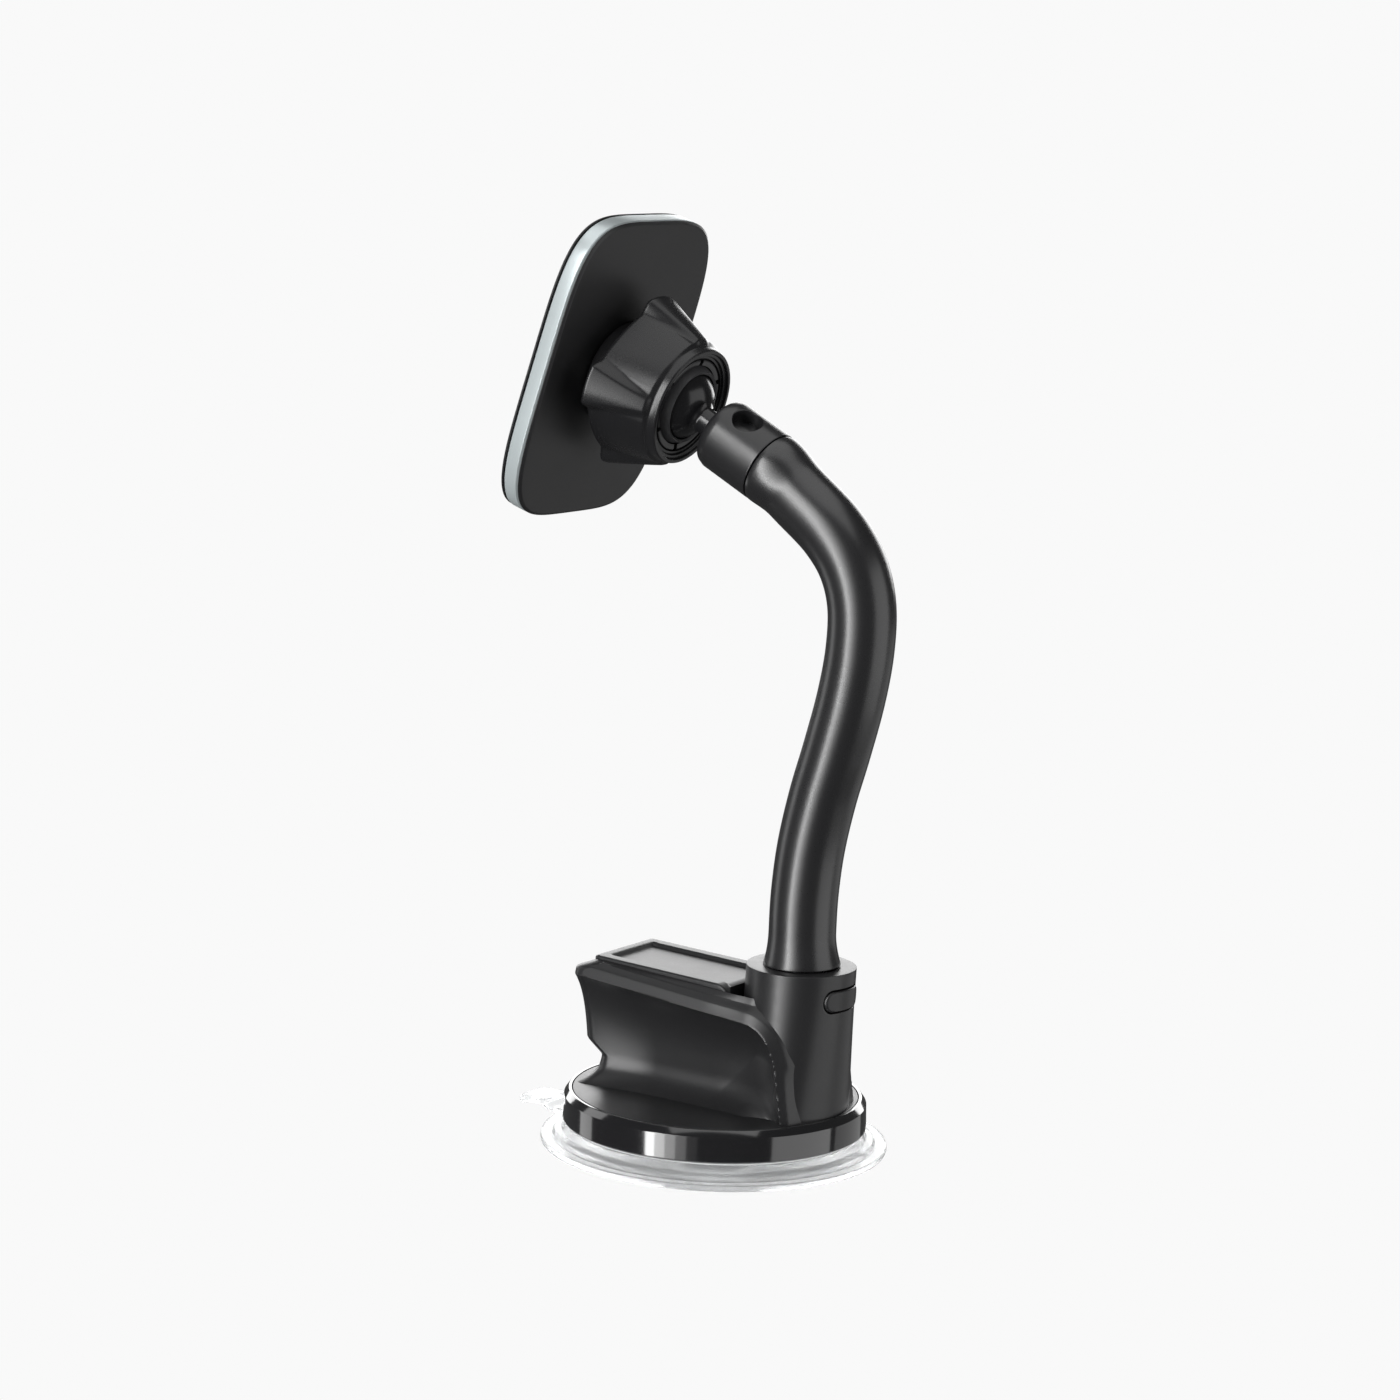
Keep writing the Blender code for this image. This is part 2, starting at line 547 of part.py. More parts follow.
def make_stud():
    """Pull stud with a flange in the pad's pocket, and the cross pin near its top."""
    profile = [(0.0, STUD_BOTTOM), (STUD_FLANGE_R, STUD_BOTTOM), (STUD_FLANGE_R, STUD_BOTTOM + 1.4 * MM),
               (STUD_R + 1.2 * MM, STUD_BOTTOM + 2.0 * MM), (STUD_R, STUD_BOTTOM + 3.4 * MM),
               (STUD_R, STUD_TOP - 0.6 * MM), (STUD_R - 0.6 * MM, STUD_TOP), (0.0, STUD_TOP)]
    stud = add_object("pull_stud", turned(profile, 24), NYLON)
    centre = (0.0, 0.0, CROSS_PIN_Z)
    carve(stud, cylinder(SMALL_PIN_R + 0.25 * MM, -5.0 * MM, 5.0 * MM, 16), "cross_hole", matrix=along_x(centre))
    add_object("stud_cross_pin", cylinder(SMALL_PIN_R, -5.8 * MM, 5.8 * MM, 16), STEEL, along_x(centre))


def make_return_spring():
    """Coil spring round the stud, between its flange and the housing's shelf."""
    turns, steps, wire_sides = 5.0, 10, 5
    mean, wire = 4.9 * MM, 0.5 * MM
    low, high = 8.9 * MM, 17.0 * MM
    rings = []
    count = int(turns * steps)
    for i in range(count + 1):
        angle = 2.0 * math.pi * i / steps
        height = low + (high - low) * i / count
        out = Vector((math.cos(angle), math.sin(angle), 0.0))
        rings.append([out * (mean + wire * math.cos(2.0 * math.pi * j / wire_sides))
                      + Vector((0.0, 0.0, height + wire * math.sin(2.0 * math.pi * j / wire_sides)))
                      for j in range(wire_sides)])
    add_object("return_spring", loft(rings), STEEL)


def make_arm_button():
    """Push-button: a pill-shaped cap on the tower's back with a latch plate round the arm's foot."""
    half_height = LATCH_HALF_HEIGHT
    low, high = BUTTON_Z - half_height, BUTTON_Z + half_height
    outline = [(-8.2 * MM, 14.5 * MM), (-6.0 * MM, 12.2 * MM), (6.0 * MM, 12.2 * MM), (8.2 * MM, 14.5 * MM),
               (8.2 * MM, 27.0 * MM), (-8.2 * MM, 27.0 * MM)]
    plate = loft([[(x, y, z) for x, y in outline] for z in (low, high)])
    button = add_object("arm_button", plate, SATIN_BLACK)
    face = tower_radius(BUTTON_Z)
    cap = carve(button, pill(BUTTON_HALF_WIDTH, BUTTON_HALF_HEIGHT, 28.0 * MM, 36.0 * MM), "button_cap", "UNION")
    skin = cylinder(face + 0.15 * MM, 30.0 * MM, 45.0 * MM, 60)
    carve(cap, skin, "button_skin", "INTERSECT", Matrix.Translation((0.0, TOWER_Y, 0.0)))
    carve(button, box((-5.6 * MM, 26.0 * MM, low), (5.6 * MM, 28.5 * MM, high)), "button_stem", "UNION")
    carve(button, cylinder(5.8 * MM, 30.0 * MM, 45.0 * MM, 40), "latch_hole",
          matrix=Matrix.Translation((0.0, TOWER_Y + 1.2 * MM, 0.0)))


def make_arm_foot():
    """Steel plug at the arm's lower end, with the groove that the latch plate holds."""
    groove_low, groove_high = BUTTON_Z - 1.5 * MM, BUTTON_Z + 1.5 * MM
    profile = [(0.0, FOOT_BOTTOM), (FOOT_R - 0.8 * MM, FOOT_BOTTOM), (FOOT_R, FOOT_BOTTOM + 0.8 * MM),
               (FOOT_R, groove_low), (4.2 * MM, groove_low), (4.2 * MM, groove_high),
               (FOOT_R, groove_high), (FOOT_R, 43.0 * MM), (0.0, 43.0 * MM)]
    add_object("arm_foot", turned(profile, 26), STEEL, Matrix.Translation((0.0, TOWER_Y, 0.0)))


# ======================= flexible arm ==============================================
def route_point(t):
    """Point on the arm's centre line, t from 0 to 1: a Catmull-Rom curve through the route."""
    knots = [Vector((0.0, y * MM, z * MM)) for y, z in NECK_ROUTE]
    ball = HEAD_CENTRE + head_normal() * BALL_HEIGHT
    before = knots[0] * 2.0 - knots[1]
    after = knots[-2] + (ball - knots[-1]).normalized() * 2.0 * (knots[-1] - knots[-2]).length
    knots = [before] + knots + [after]
    spans = len(NECK_ROUTE) - 1
    position = min(max(t, 0.0), 1.0) * spans
    index = min(int(position), spans - 1)
    u = position - index
    a, b, c, d = knots[index:index + 4]
    return 0.5 * ((2.0 * b) + (c - a) * u + (2.0 * a - 5.0 * b + 4.0 * c - d) * u * u
                  + (3.0 * b - a - 3.0 * c + d) * u * u * u)


def route_by_length(samples=400):
    """Centre line sampled finely, with the length run at each sample."""
    points = [route_point(i / samples) for i in range(samples + 1)]
    runs = [0.0]
    for i in range(samples):
        runs.append(runs[-1] + (points[i + 1] - points[i]).length)
    return points, runs


def head_normal():
    """Unit normal of the head's back, towards the ball."""
    return Vector((0.0, -math.sin(HEAD_TILT), math.cos(HEAD_TILT)))


POINTS, RUNS = route_by_length()
NECK_LENGTH = RUNS[-1]


def neck_station(run):
    """Centre point and unit tangent of the arm at a length along it."""
    index = 0
    while index < len(RUNS) - 2 and RUNS[index + 1] < run:
        index += 1
    span = RUNS[index + 1] - RUNS[index]
    fraction = (run - RUNS[index]) / span
    point = POINTS[index].lerp(POINTS[index + 1], fraction)
    tangent = (POINTS[index + 1] - POINTS[index]).normalized()
    return point, tangent


def neck_ring(run, radius):
    """Circle round the arm's centre line."""
    centre, tangent = neck_station(run)
    side = Vector((1.0, 0.0, 0.0))
    up = tangent.cross(side)
    ring = []
    for j in range(NECK_SIDES):
        angle = 2.0 * math.pi * j / NECK_SIDES
        ring.append(centre + (side * math.cos(angle) + up * math.sin(angle)) * radius)
    return ring


def sleeve_radius(run):
    """Outer radius of the sleeve: flared at the tower, plain, then as wide as the collar."""
    flare = max(0.0, 1.0 - run / NECK_FLARE_LENGTH)
    swell = max(0.0, 1.0 - (NECK_LENGTH - run) / NECK_SWELL_LENGTH)
    return NECK_R + (NECK_FLARE_R - NECK_R) * flare * flare + NECK_SWELL * swell * swell


def end_recess(radius):
    """Room left at a bending place, growing towards the outside of the arm."""
    return 0.15 * MM + 0.155 * radius


def make_neck():
    """Flexible arm as five stiff lengths of spine and sleeve between four bending places."""
    stops = [0.0] + [share * NECK_LENGTH for share in NECK_JOINTS] + [NECK_LENGTH]
    for number in range(5):
        low, high = stops[number], stops[number + 1]
        start = end_recess(NECK_R) if number > 0 else 0.0
        finish = end_recess(NECK_R) if number < 4 else 0.1 * MM
        steps = max(3, int((high - low) / (4.5 * MM)))
        outer_low, outer_high = low + start, high - finish
        outer = [outer_low + (outer_high - outer_low) * i / steps for i in range(steps + 1)]
        bore_low = low + (end_recess(SLEEVE_BORE) if number > 0 else 0.0)
        bore_high = high - (end_recess(SLEEVE_BORE) if number < 4 else 0.1 * MM)
        bore = [bore_high + (bore_low - bore_high) * i / steps for i in range(steps + 1)]
        rings = [neck_ring(run, sleeve_radius(run)) for run in outer]
        rings += [neck_ring(run, SLEEVE_BORE) for run in bore]
        add_object(f"neck_sleeve_{number + 1}", loft(rings, closed=True), SOFT_BLACK)
        core_low = low + (end_recess(CORE_R) if number > 0 else 0.1 * MM)
        core_high = high - end_recess(CORE_R) if number < 4 else high + 3.0 * MM
        core = [core_low + (min(core_high, NECK_LENGTH) - core_low) * i / steps for i in range(steps + 1)]
        add_object(f"neck_core_{number + 1}", loft([neck_ring(run, CORE_R) for run in core]), STEEL)


# ======================= ball joint ================================================
BALL_CENTRE = HEAD_CENTRE + head_normal() * BALL_HEIGHT
HEAD_MATRIX = Matrix.Translation(HEAD_CENTRE) @ Matrix.Rotation(HEAD_TILT, 4, "X")
SEAM = Vector((0.0, NECK_ROUTE[-1][0] * MM, NECK_ROUTE[-1][1] * MM))
ARM_AXIS = (SEAM - BALL_CENTRE).normalized()
ARM_TILT = math.atan2(-ARM_AXIS.y, ARM_AXIS.z)
SEAM_AT = (SEAM - BALL_CENTRE).length
ARM_MATRIX = Matrix.Translation(BALL_CENTRE) @ Matrix.Rotation(ARM_TILT, 4, "X")


def sphere_arc(radius, centre, start_deg, end_deg, steps):
    """(radius, height) points on a sphere, angles measured from its equator upwards."""
    points = []
    for i in range(steps + 1):
        angle = math.radians(start_deg + (end_deg - start_deg) * i / steps)
        points.append((radius * math.cos(angle), centre + radius * math.sin(angle)))
    return points


def make_ball_stud():
    """Ball with a short neck whose tail is held in the collar."""
    neck_r = 2.9 * MM
    leave = math.degrees(math.acos(neck_r / BALL_R))
    profile = [(0.0, -BALL_R)] + sphere_arc(BALL_R, 0.0, -80.0, leave, 11)
    profile += [(neck_r, 20.0 * MM), (neck_r - 0.5 * MM, 20.5 * MM), (0.0, 20.5 * MM)]
    add_object("ball_stud", turned(profile, 28), GLOSS_BLACK, ARM_MATRIX)


def make_collar():
    """Upper ferrule of the arm: domed front, round hole in its upper side, socket for the spine."""
    front, back = COLLAR_FRONT, SEAM_AT - 0.3 * MM
    profile = [(3.2 * MM, front), (4.8 * MM, front + 0.2 * MM), (6.6 * MM, front + 1.1 * MM),
               (COLLAR_R, front + 3.0 * MM), (COLLAR_R, back), (SLEEVE_BORE, back),
               (SLEEVE_BORE, back - 5.0 * MM), (3.2 * MM, back - 5.0 * MM)]
    collar = add_object("arm_collar", turned(profile, 30), SATIN_BLACK, ARM_MATRIX)
    swing = Matrix.Rotation(COLLAR_HOLE_SWING, 4, "Z") @ Matrix.Rotation(math.radians(90.0), 4, "X")
    hole = ARM_MATRIX @ Matrix.Translation((0.0, 0.0, COLLAR_HOLE_AT)) @ swing
    bit = cylinder(COLLAR_HOLE_R, COLLAR_HOLE_DEPTHS[0], COLLAR_HOLE_DEPTHS[1], 28)
    carve(collar, bit, "collar_hole", matrix=hole)


def make_liner():
    """Thin spherical seat between the ball and the collet."""
    outer = sphere_arc(LINER_OUT, BALL_HEIGHT, -50.0, 32.0, 5)
    inner = sphere_arc(LINER_IN, BALL_HEIGHT, 32.0, -50.0, 5)
    add_object("ball_liner", turned(outer + inner, 32), NYLON, HEAD_MATRIX)


def make_collet():
    """Split socket: a flange on the head's back and six fingers that the nut closes on the ball."""
    rise = COLLET_END - BALL_HEIGHT
    mouth = math.degrees(math.asin(rise / COLLET_IN))
    profile = [(0.0, GAP), (COLLET_OUT, GAP), (COLLET_OUT, 17.4 * MM), (10.2 * MM, COLLET_END)]
    profile += sphere_arc(COLLET_IN, BALL_HEIGHT, mouth, -80.0, 7)
    profile += [(0.0, BALL_HEIGHT - COLLET_IN)]
    collet = add_object("collet_socket", turned(profile, 32), SATIN_BLACK, HEAD_MATRIX)
    slit = 0.6 * MM
    for number in range(3):
        turn = HEAD_MATRIX @ Matrix.Rotation(math.radians(60.0 * number + 30.0), 4, "Z")
        carve(collet, box((-13.0 * MM, -slit, 11.0 * MM), (13.0 * MM, slit, 22.0 * MM)), f"slit_{number + 1}",
              matrix=turn)
    carve(collet, cylinder(1.6 * MM, -1.0 * MM, 4.6 * MM, 16), "collet_thread_hole", matrix=HEAD_MATRIX)


def nut_radius(height, angle):
    """Outer radius of the nut: lobes that taper away towards the rear ring."""
    share = (height - NUT_BOTTOM) / (NUT_TOP - NUT_BOTTOM)
    valley = 16.3 * MM + (13.2 - 16.3) * MM * share
    wave = 0.5 + 0.5 * math.cos(NUT_LOBES * angle)
    lobe = 2.9 * MM * max(0.0, 1.0 - share * 1.06) * wave ** 2.5
    return valley + lobe


def make_nut():
    """Lobed locking nut round the collet."""
    sides = 48
    angles = [2.0 * math.pi * j / sides for j in range(sides)]

    def outer_ring(height, scale=1.0):
        return [(nut_radius(height, a) * scale * math.cos(a), nut_radius(height, a) * scale * math.sin(a), height)
                for a in angles]

    def round_ring(radius, height):
        return [(radius * math.cos(a), radius * math.sin(a), height) for a in angles]

    rings = [outer_ring(NUT_BOTTOM, 0.97), outer_ring(NUT_BOTTOM + 0.6 * MM)]
    rings += [outer_ring(NUT_BOTTOM + h * MM) for h in (4.0, 8.0, 12.0, 14.6)]
    rings += [round_ring(12.9 * MM, NUT_TOP - 0.2 * MM), round_ring(12.5 * MM, NUT_TOP)]
    rings += [round_ring(11.6 * MM, NUT_TOP), round_ring(11.5 * MM, NUT_TOP - 0.7 * MM),
              round_ring(10.55 * MM, NUT_TOP - 0.8 * MM), round_ring(11.5 * MM, 17.2 * MM),
              round_ring(11.5 * MM, NUT_BOTTOM)]
    add_object("locking_nut", loft(rings, closed=True), SATIN_BLACK, HEAD_MATRIX)


# ======================= head ======================================================
def oval(a, b, height, power=HEAD_POWER):
    """Superellipse ring |x/a|^n + |y/b|^n = 1 at a height."""
    ring = []
    for j in range(HEAD_SIDES):
        angle = 2.0 * math.pi * j / HEAD_SIDES
        c, s = math.cos(angle), math.sin(angle)
        x = a * math.copysign(abs(c) ** (2.0 / power), c)
        y = b * math.copysign(abs(s) ** (2.0 / power), s)
        ring.append((x, y, height))
    return ring


def make_back_cover():
    """Back cover: gently domed plate with a chamfered edge and an inner skirt."""
    hole = 2.3 * MM
    skirt = 2.0 * MM
    rings = [
        oval(hole, hole, 0.0, 2.0), oval(12.0 * MM, 12.0 * MM, 0.0, 2.0), oval(20.0 * MM, 28.0 * MM, -0.1 * MM, 3.4),
        oval(HEAD_A - 1.2 * MM, HEAD_B - 1.2 * MM, -0.3 * MM), oval(HEAD_A - 0.3 * MM, HEAD_B - 0.3 * MM, -0.5 * MM),
        oval(HEAD_A, HEAD_B, -0.75 * MM), oval(HEAD_A - skirt, HEAD_B - skirt, -0.8 * MM),
        oval(HEAD_A - skirt, HEAD_B - skirt, -4.4 * MM), oval(HEAD_A - 3.2 * MM, HEAD_B - 3.2 * MM, -4.4 * MM),
        oval(HEAD_A - 3.2 * MM, HEAD_B - 3.2 * MM, -1.7 * MM), oval(hole, hole, -1.7 * MM, 2.0),
    ]
    add_object("head_back_cover", loft(rings, closed=True), SOFT_BLACK, HEAD_MATRIX)


def oval_slab(name, a, b, low, high, mat, edge=0.25 * MM, hole=0.0):
    """Flat superellipse plate with softened edges, with a round hole if one is asked for."""
    rings = [oval(a - edge, b - edge, low), oval(a, b, low + edge), oval(a, b, high - edge),
             oval(a - edge, b - edge, high)]
    if hole > 0.0:
        rings += [oval(hole, hole, high, 2.0), oval(hole, hole, low, 2.0)]
    return add_object(name, loft(rings, closed=hole > 0.0), mat, HEAD_MATRIX)


def make_head_front():
    """Rim band, front plate, silicone face pad, steel yoke and the magnets."""
    low, high, wall = -4.75 * MM, -1.05 * MM, 1.7 * MM
    rings = [oval(HEAD_A, HEAD_B, low), oval(HEAD_A, HEAD_B, high), oval(HEAD_A - wall, HEAD_B - wall, high),
             oval(HEAD_A - wall, HEAD_B - wall, low)]
    add_object("head_rim_band", loft(rings, closed=True), RIM_ALLOY, HEAD_MATRIX)
    oval_slab("head_front_plate", HEAD_A - 0.1 * MM, HEAD_B - 0.1 * MM, -5.75 * MM, -5.05 * MM, SOFT_BLACK, 0.2 * MM)
    oval_slab("face_pad", HEAD_A - 2.2 * MM, HEAD_B - 2.2 * MM, -6.55 * MM, -6.05 * MM, SOFT_BLACK, 0.15 * MM)
    oval_slab("yoke_plate", 20.0 * MM, 28.6 * MM, -3.0 * MM, -2.0 * MM, STEEL, 0.1 * MM, 4.2 * MM)
    number = 0
    for column in (-9.4, 9.4):
        for row in (-20.4, -6.8, 6.8, 20.4):
            number += 1
            disc = [(0.0, -4.75 * MM), (4.8 * MM, -4.75 * MM), (4.8 * MM, -3.3 * MM), (0.0, -3.3 * MM)]
            place = HEAD_MATRIX @ Matrix.Translation((column * MM, row * MM, 0.0))
            add_object(f"disc_magnet_{number}", turned(disc, 14), MAGNET_PLATE, place)


def make_collet_screw():
    """Pan-head screw from inside the head into the collet's flange."""
    profile = [(0.0, -4.2 * MM), (3.0 * MM, -4.2 * MM), (3.6 * MM, -3.6 * MM), (3.6 * MM, -2.0 * MM),
               (1.3 * MM, -2.0 * MM), (1.3 * MM, 4.2 * MM), (0.0, 4.2 * MM)]
    screw = add_object("collet_screw", turned(profile, 14), STEEL, HEAD_MATRIX)
    carve(screw, cylinder(1.2 * MM, -5.0 * MM, -3.0 * MM, 6), "collet_screw_drive", matrix=HEAD_MATRIX)


def hang_on_pivots():
    """Put an empty on each joint's axis and parent the moving pieces to it."""
    stations = [neck_station(share * NECK_LENGTH)[0] for share in NECK_JOINTS]
    head_pieces = ["head_back_cover", "head_rim_band", "head_front_plate", "face_pad", "yoke_plate", "collet_screw"]
    head_pieces += [f"disc_magnet_{number}" for number in range(1, 9)]
    pivots = {
        "lever_pivot": (LEVER_PIVOT, ["lock_lever"]),
        "rocker_pivot": (ROCKER_PIVOT, ["rocker_arm"]),
        "stud_guide": (Vector((0.0, 0.0, STUD_BOTTOM)), ["pull_stud", "stud_cross_pin"]),
        "button_guide": (Vector((0.0, TOWER_Y, BUTTON_Z)), ["arm_button"]),
        "neck_bend_1": (stations[0], ["neck_core_2", "neck_sleeve_2"]),
        "neck_bend_2": (stations[1], ["neck_core_3", "neck_sleeve_3"]),
        "neck_bend_3": (stations[2], ["neck_core_4", "neck_sleeve_4"]),
        "neck_bend_4": (stations[3], ["neck_core_5", "neck_sleeve_5", "arm_collar", "ball_stud"]),
        "ball_centre": (BALL_CENTRE, ["ball_liner", "collet_socket", "locking_nut"] + head_pieces),
    }
    for name, (place, pieces) in pivots.items():
        pivot = bpy.data.objects.new(name, None)
        bpy.context.scene.collection.objects.link(pivot)
        pivot.location = place
        for piece in pieces:
            obj = bpy.data.objects[piece]
            obj.parent = pivot
            obj.matrix_parent_inverse = Matrix.Translation(place).inverted()


make_suction_pad()
make_base_ring()
make_base_plate()
make_base_screws()
make_housing()
make_lever()
make_rocker()
make_stud()
make_return_spring()
make_arm_button()
make_arm_foot()
make_neck()
make_ball_stud()
make_collar()
make_liner()
make_collet()
make_nut()
make_back_cover()
make_head_front()
make_collet_screw()
hang_on_pivots()
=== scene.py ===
# %% [markdown]
# # Car phone mount
#
# A suction base with a lock lever, a flexible arm, and a flat magnetic head on a ball joint.
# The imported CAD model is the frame: it says where each piece is and how it moves. This lesson
# builds the fine surfaces that are seen, gives every piece a finish, and lights the whole.

# %% Frame, sizes and names
import json
import math

import bmesh
import bpy
import numpy as np
from mathutils import Matrix, Vector


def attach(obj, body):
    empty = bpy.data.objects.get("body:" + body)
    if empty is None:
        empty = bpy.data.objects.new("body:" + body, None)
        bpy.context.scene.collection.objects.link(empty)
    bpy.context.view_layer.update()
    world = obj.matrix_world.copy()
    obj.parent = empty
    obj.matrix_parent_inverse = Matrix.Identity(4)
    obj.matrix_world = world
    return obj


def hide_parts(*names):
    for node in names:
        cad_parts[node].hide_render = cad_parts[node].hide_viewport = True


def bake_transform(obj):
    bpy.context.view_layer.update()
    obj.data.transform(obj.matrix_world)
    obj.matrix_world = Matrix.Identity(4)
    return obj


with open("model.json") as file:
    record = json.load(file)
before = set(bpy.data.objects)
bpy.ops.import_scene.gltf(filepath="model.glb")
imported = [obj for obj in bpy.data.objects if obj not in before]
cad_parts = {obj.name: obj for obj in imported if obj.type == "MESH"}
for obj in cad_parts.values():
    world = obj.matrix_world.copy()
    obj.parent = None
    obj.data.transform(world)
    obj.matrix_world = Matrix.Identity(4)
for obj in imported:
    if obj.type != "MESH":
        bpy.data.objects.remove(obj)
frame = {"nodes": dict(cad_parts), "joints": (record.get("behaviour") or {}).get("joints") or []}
NODES = frame["nodes"]
JOINTS = {joint["name"]: joint for joint in frame["joints"]}
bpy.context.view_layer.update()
MM = 0.001

# %% [markdown]
# ## Measures read from the frame, and sizes given
#
# A lesson that typed every place in again would drift away from the CAD model. So the joint
# points are read from the frame's joints. The tower's place and height, the base's top and the
# ball's height above the head are given here as numbers, as are the small shapes the CAD leaves plain.

# %% Places read from the frame, and heights given as numbers
BALL_CENTRE = np.array(JOINTS["head_pitch"]["pos_m"])
HEAD_NORMAL = np.array(JOINTS["head_roll"]["axis"])
LEVER_PIVOT = np.array(JOINTS["lever_lift"]["pos_m"])
TOWER_Y = 20.6 * MM
TOWER_TOP = 43.0 * MM
BASE_TOP = 11.6 * MM
BALL_HEIGHT = 16.2 * MM
HEAD_CENTRE = BALL_CENTRE - HEAD_NORMAL * BALL_HEIGHT
HEAD_AXES = np.stack([np.array([1.0, 0.0, 0.0]), np.cross(HEAD_NORMAL, [1.0, 0.0, 0.0]), HEAD_NORMAL])
print("head centre", np.round(HEAD_CENTRE / MM, 2), "ball centre", np.round(BALL_CENTRE / MM, 2))

# %% [markdown]
# ## Mesh helpers
#
# Every piece below is a grid: rows of points that run one way and columns that run the other.
# A grid needs no modelling by hand, it can be made as fine as the light asks for, and its
# faces are plain quads. One helper turns grids into an object, merges the points that meet at
# seams and poles, and turns the faces outwards.

# %% From grids to an object
def grid_quads(rows, columns, wrap_rows=False, wrap_columns=False, start=0):
    """Quad corners of a rows x columns grid, numbered row by row from start."""
    row = np.arange(rows if wrap_rows else rows - 1)
    column = np.arange(columns if wrap_columns else columns - 1)
    i, j = np.meshgrid(row, column, indexing="ij")
    i2, j2 = (i + 1) % rows, (j + 1) % columns
    quads = np.stack([i * columns + j, i * columns + j2, i2 * columns + j2, i2 * columns + j], -1)
    return quads.reshape(-1, 4) + start


class Piece:
    """Collects grids of points and their quads until they become one object."""

    def __init__(self):
        self.points, self.quads, self.count = [], [], 0

    def add(self, points, wrap_rows=False, wrap_columns=False, keep=None):
        """Adds a (rows, columns, 3) grid; keep is a mask of the quads to use."""
        points = np.asarray(points, float)
        rows, columns = points.shape[:2]
        quads = grid_quads(rows, columns, wrap_rows, wrap_columns, self.count)
        self.quads.append(quads if keep is None else quads[keep.ravel()])
        self.points.append(points.reshape(-1, 3))
        self.count += rows * columns
        return self

    def build(self, name, material, sharp_deg=40.0, merge=2e-6, outwards=True):
        """Makes the object: merges doubles, closes poles, turns faces out, shades smooth."""
        mesh = bpy.data.meshes.new(name)
        mesh.from_pydata(np.concatenate(self.points).tolist(), [], np.concatenate(self.quads).tolist())
        work = bmesh.new()
        work.from_mesh(mesh)
        bmesh.ops.remove_doubles(work, verts=work.verts, dist=merge)
        bmesh.ops.dissolve_degenerate(work, edges=work.edges, dist=merge * 0.5)
        if outwards:
            bmesh.ops.recalc_face_normals(work, faces=work.faces)
        work.to_mesh(mesh)
        work.free()
        mesh.materials.append(material)
        mesh.shade_smooth()
        mesh.set_sharp_from_angle(angle=math.radians(sharp_deg))
        piece = bpy.data.objects.new(name, mesh)
        bpy.context.scene.collection.objects.link(piece)
        print(name, len(mesh.polygons), "faces")
        return piece


# %% [markdown]
# ## Profiles with rounded corners
#
# Moulded and turned pieces have small radii on every edge, and those radii catch the light.
# A profile is given as a few corners with a radius each, and the helper swaps each corner
# for an arc. It returns an array, ready to be turned round an axis or carried along a path.

# %% Rounded profiles and turned grids
def rounded(corners, steps=6):
    """Polyline through (a, b, radius) corners, each corner replaced by a tangent arc."""
    corners = np.array(corners, float)
    out = [corners[0, :2]]
    for before, corner, after in zip(corners[:-2], corners[1:-1], corners[2:]):
        p, radius = corner[:2], corner[2]
        u, v = before[:2] - p, after[:2] - p
        lu, lv = np.hypot(*u), np.hypot(*v)
        u, v = u / lu, v / lv
        half = math.acos(np.clip(u @ v, -1.0, 1.0)) / 2.0
        reach = min(radius / max(math.tan(half), 1e-6), 0.48 * lu, 0.48 * lv)
        if radius <= 0.0 or half > 1.56:
            out.append(p)
            continue
        t = np.linspace(0.0, 1.0, steps + 1)[:, None]
        out.extend((1 - t) ** 2 * (p + u * reach) + 2 * t * (1 - t) * p + t ** 2 * (p + v * reach))
    out.append(corners[-1, :2])
    return np.array(out)


def round_axis(radius, height, angle):
    """Points about Z: x = r cos a, y = r sin a, z = h."""
    return np.stack([radius * np.cos(angle), radius * np.sin(angle), height + 0 * angle], -1)


def turned_grid(profile, sides=128):
    """Profile of (radius, height) rows turned about Z."""
    angle = np.linspace(0.0, 2.0 * math.pi, sides, endpoint=False)[None, :]
    return round_axis(profile[:, :1], profile[:, 1:2], angle)


def place(points, axes, centre):
    """Points in a local frame, whose axes are the rows of a 3x3 array, set in the row frame."""
    return points @ np.asarray(axes) + np.asarray(centre)


def closed_ends(grid):
    """Grid of closed loops with its first and last loop drawn together to their middles."""
    ends = [np.repeat(grid[i].mean(0)[None, None], grid.shape[1], axis=1) for i in (0, -1)]
    return np.concatenate([ends[0], grid, ends[1]])


def smooth(low, high, value):
    """Smooth step: 0 below low, 1 above high, 3t^2 - 2t^3 between."""
    t = np.clip((value - low) / (high - low), 0.0, 1.0)
    return t * t * (3.0 - 2.0 * t)


print("helpers ready")

# %% [markdown]
# ## Finishes
#
# Nearly everything on this mount is black, so the finishes have to do the telling apart: the
# housing is a fine satin moulding, the ring is polished, the head's back is soft to the touch,
# the pad is clear. What they share is made once, as node groups: a fine moulded grain, and the
# faint smudges and dust of an object that has been handled. Each material places them with its
# own values.

# %% Shader groups
def new_group(name, inputs, outputs):
    """Empty shader node group with named float inputs (with defaults) and float outputs."""
    group = bpy.data.node_groups.new(name, "ShaderNodeTree")
    group.interface.new_socket("Coordinates", in_out="INPUT", socket_type="NodeSocketVector")
    for label, value in inputs:
        socket = group.interface.new_socket(label, in_out="INPUT", socket_type="NodeSocketFloat")
        socket.default_value = value
    for label in outputs:
        group.interface.new_socket(label, in_out="OUTPUT", socket_type="NodeSocketFloat")
    return group, group.nodes.new("NodeGroupInput"), group.nodes.new("NodeGroupOutput")


def feed(tree, value, socket):
    """Gives a socket a number, or links another socket to it."""
    if isinstance(value, (int, float)):
        socket.default_value = value
    else:
        tree.links.new(value, socket)


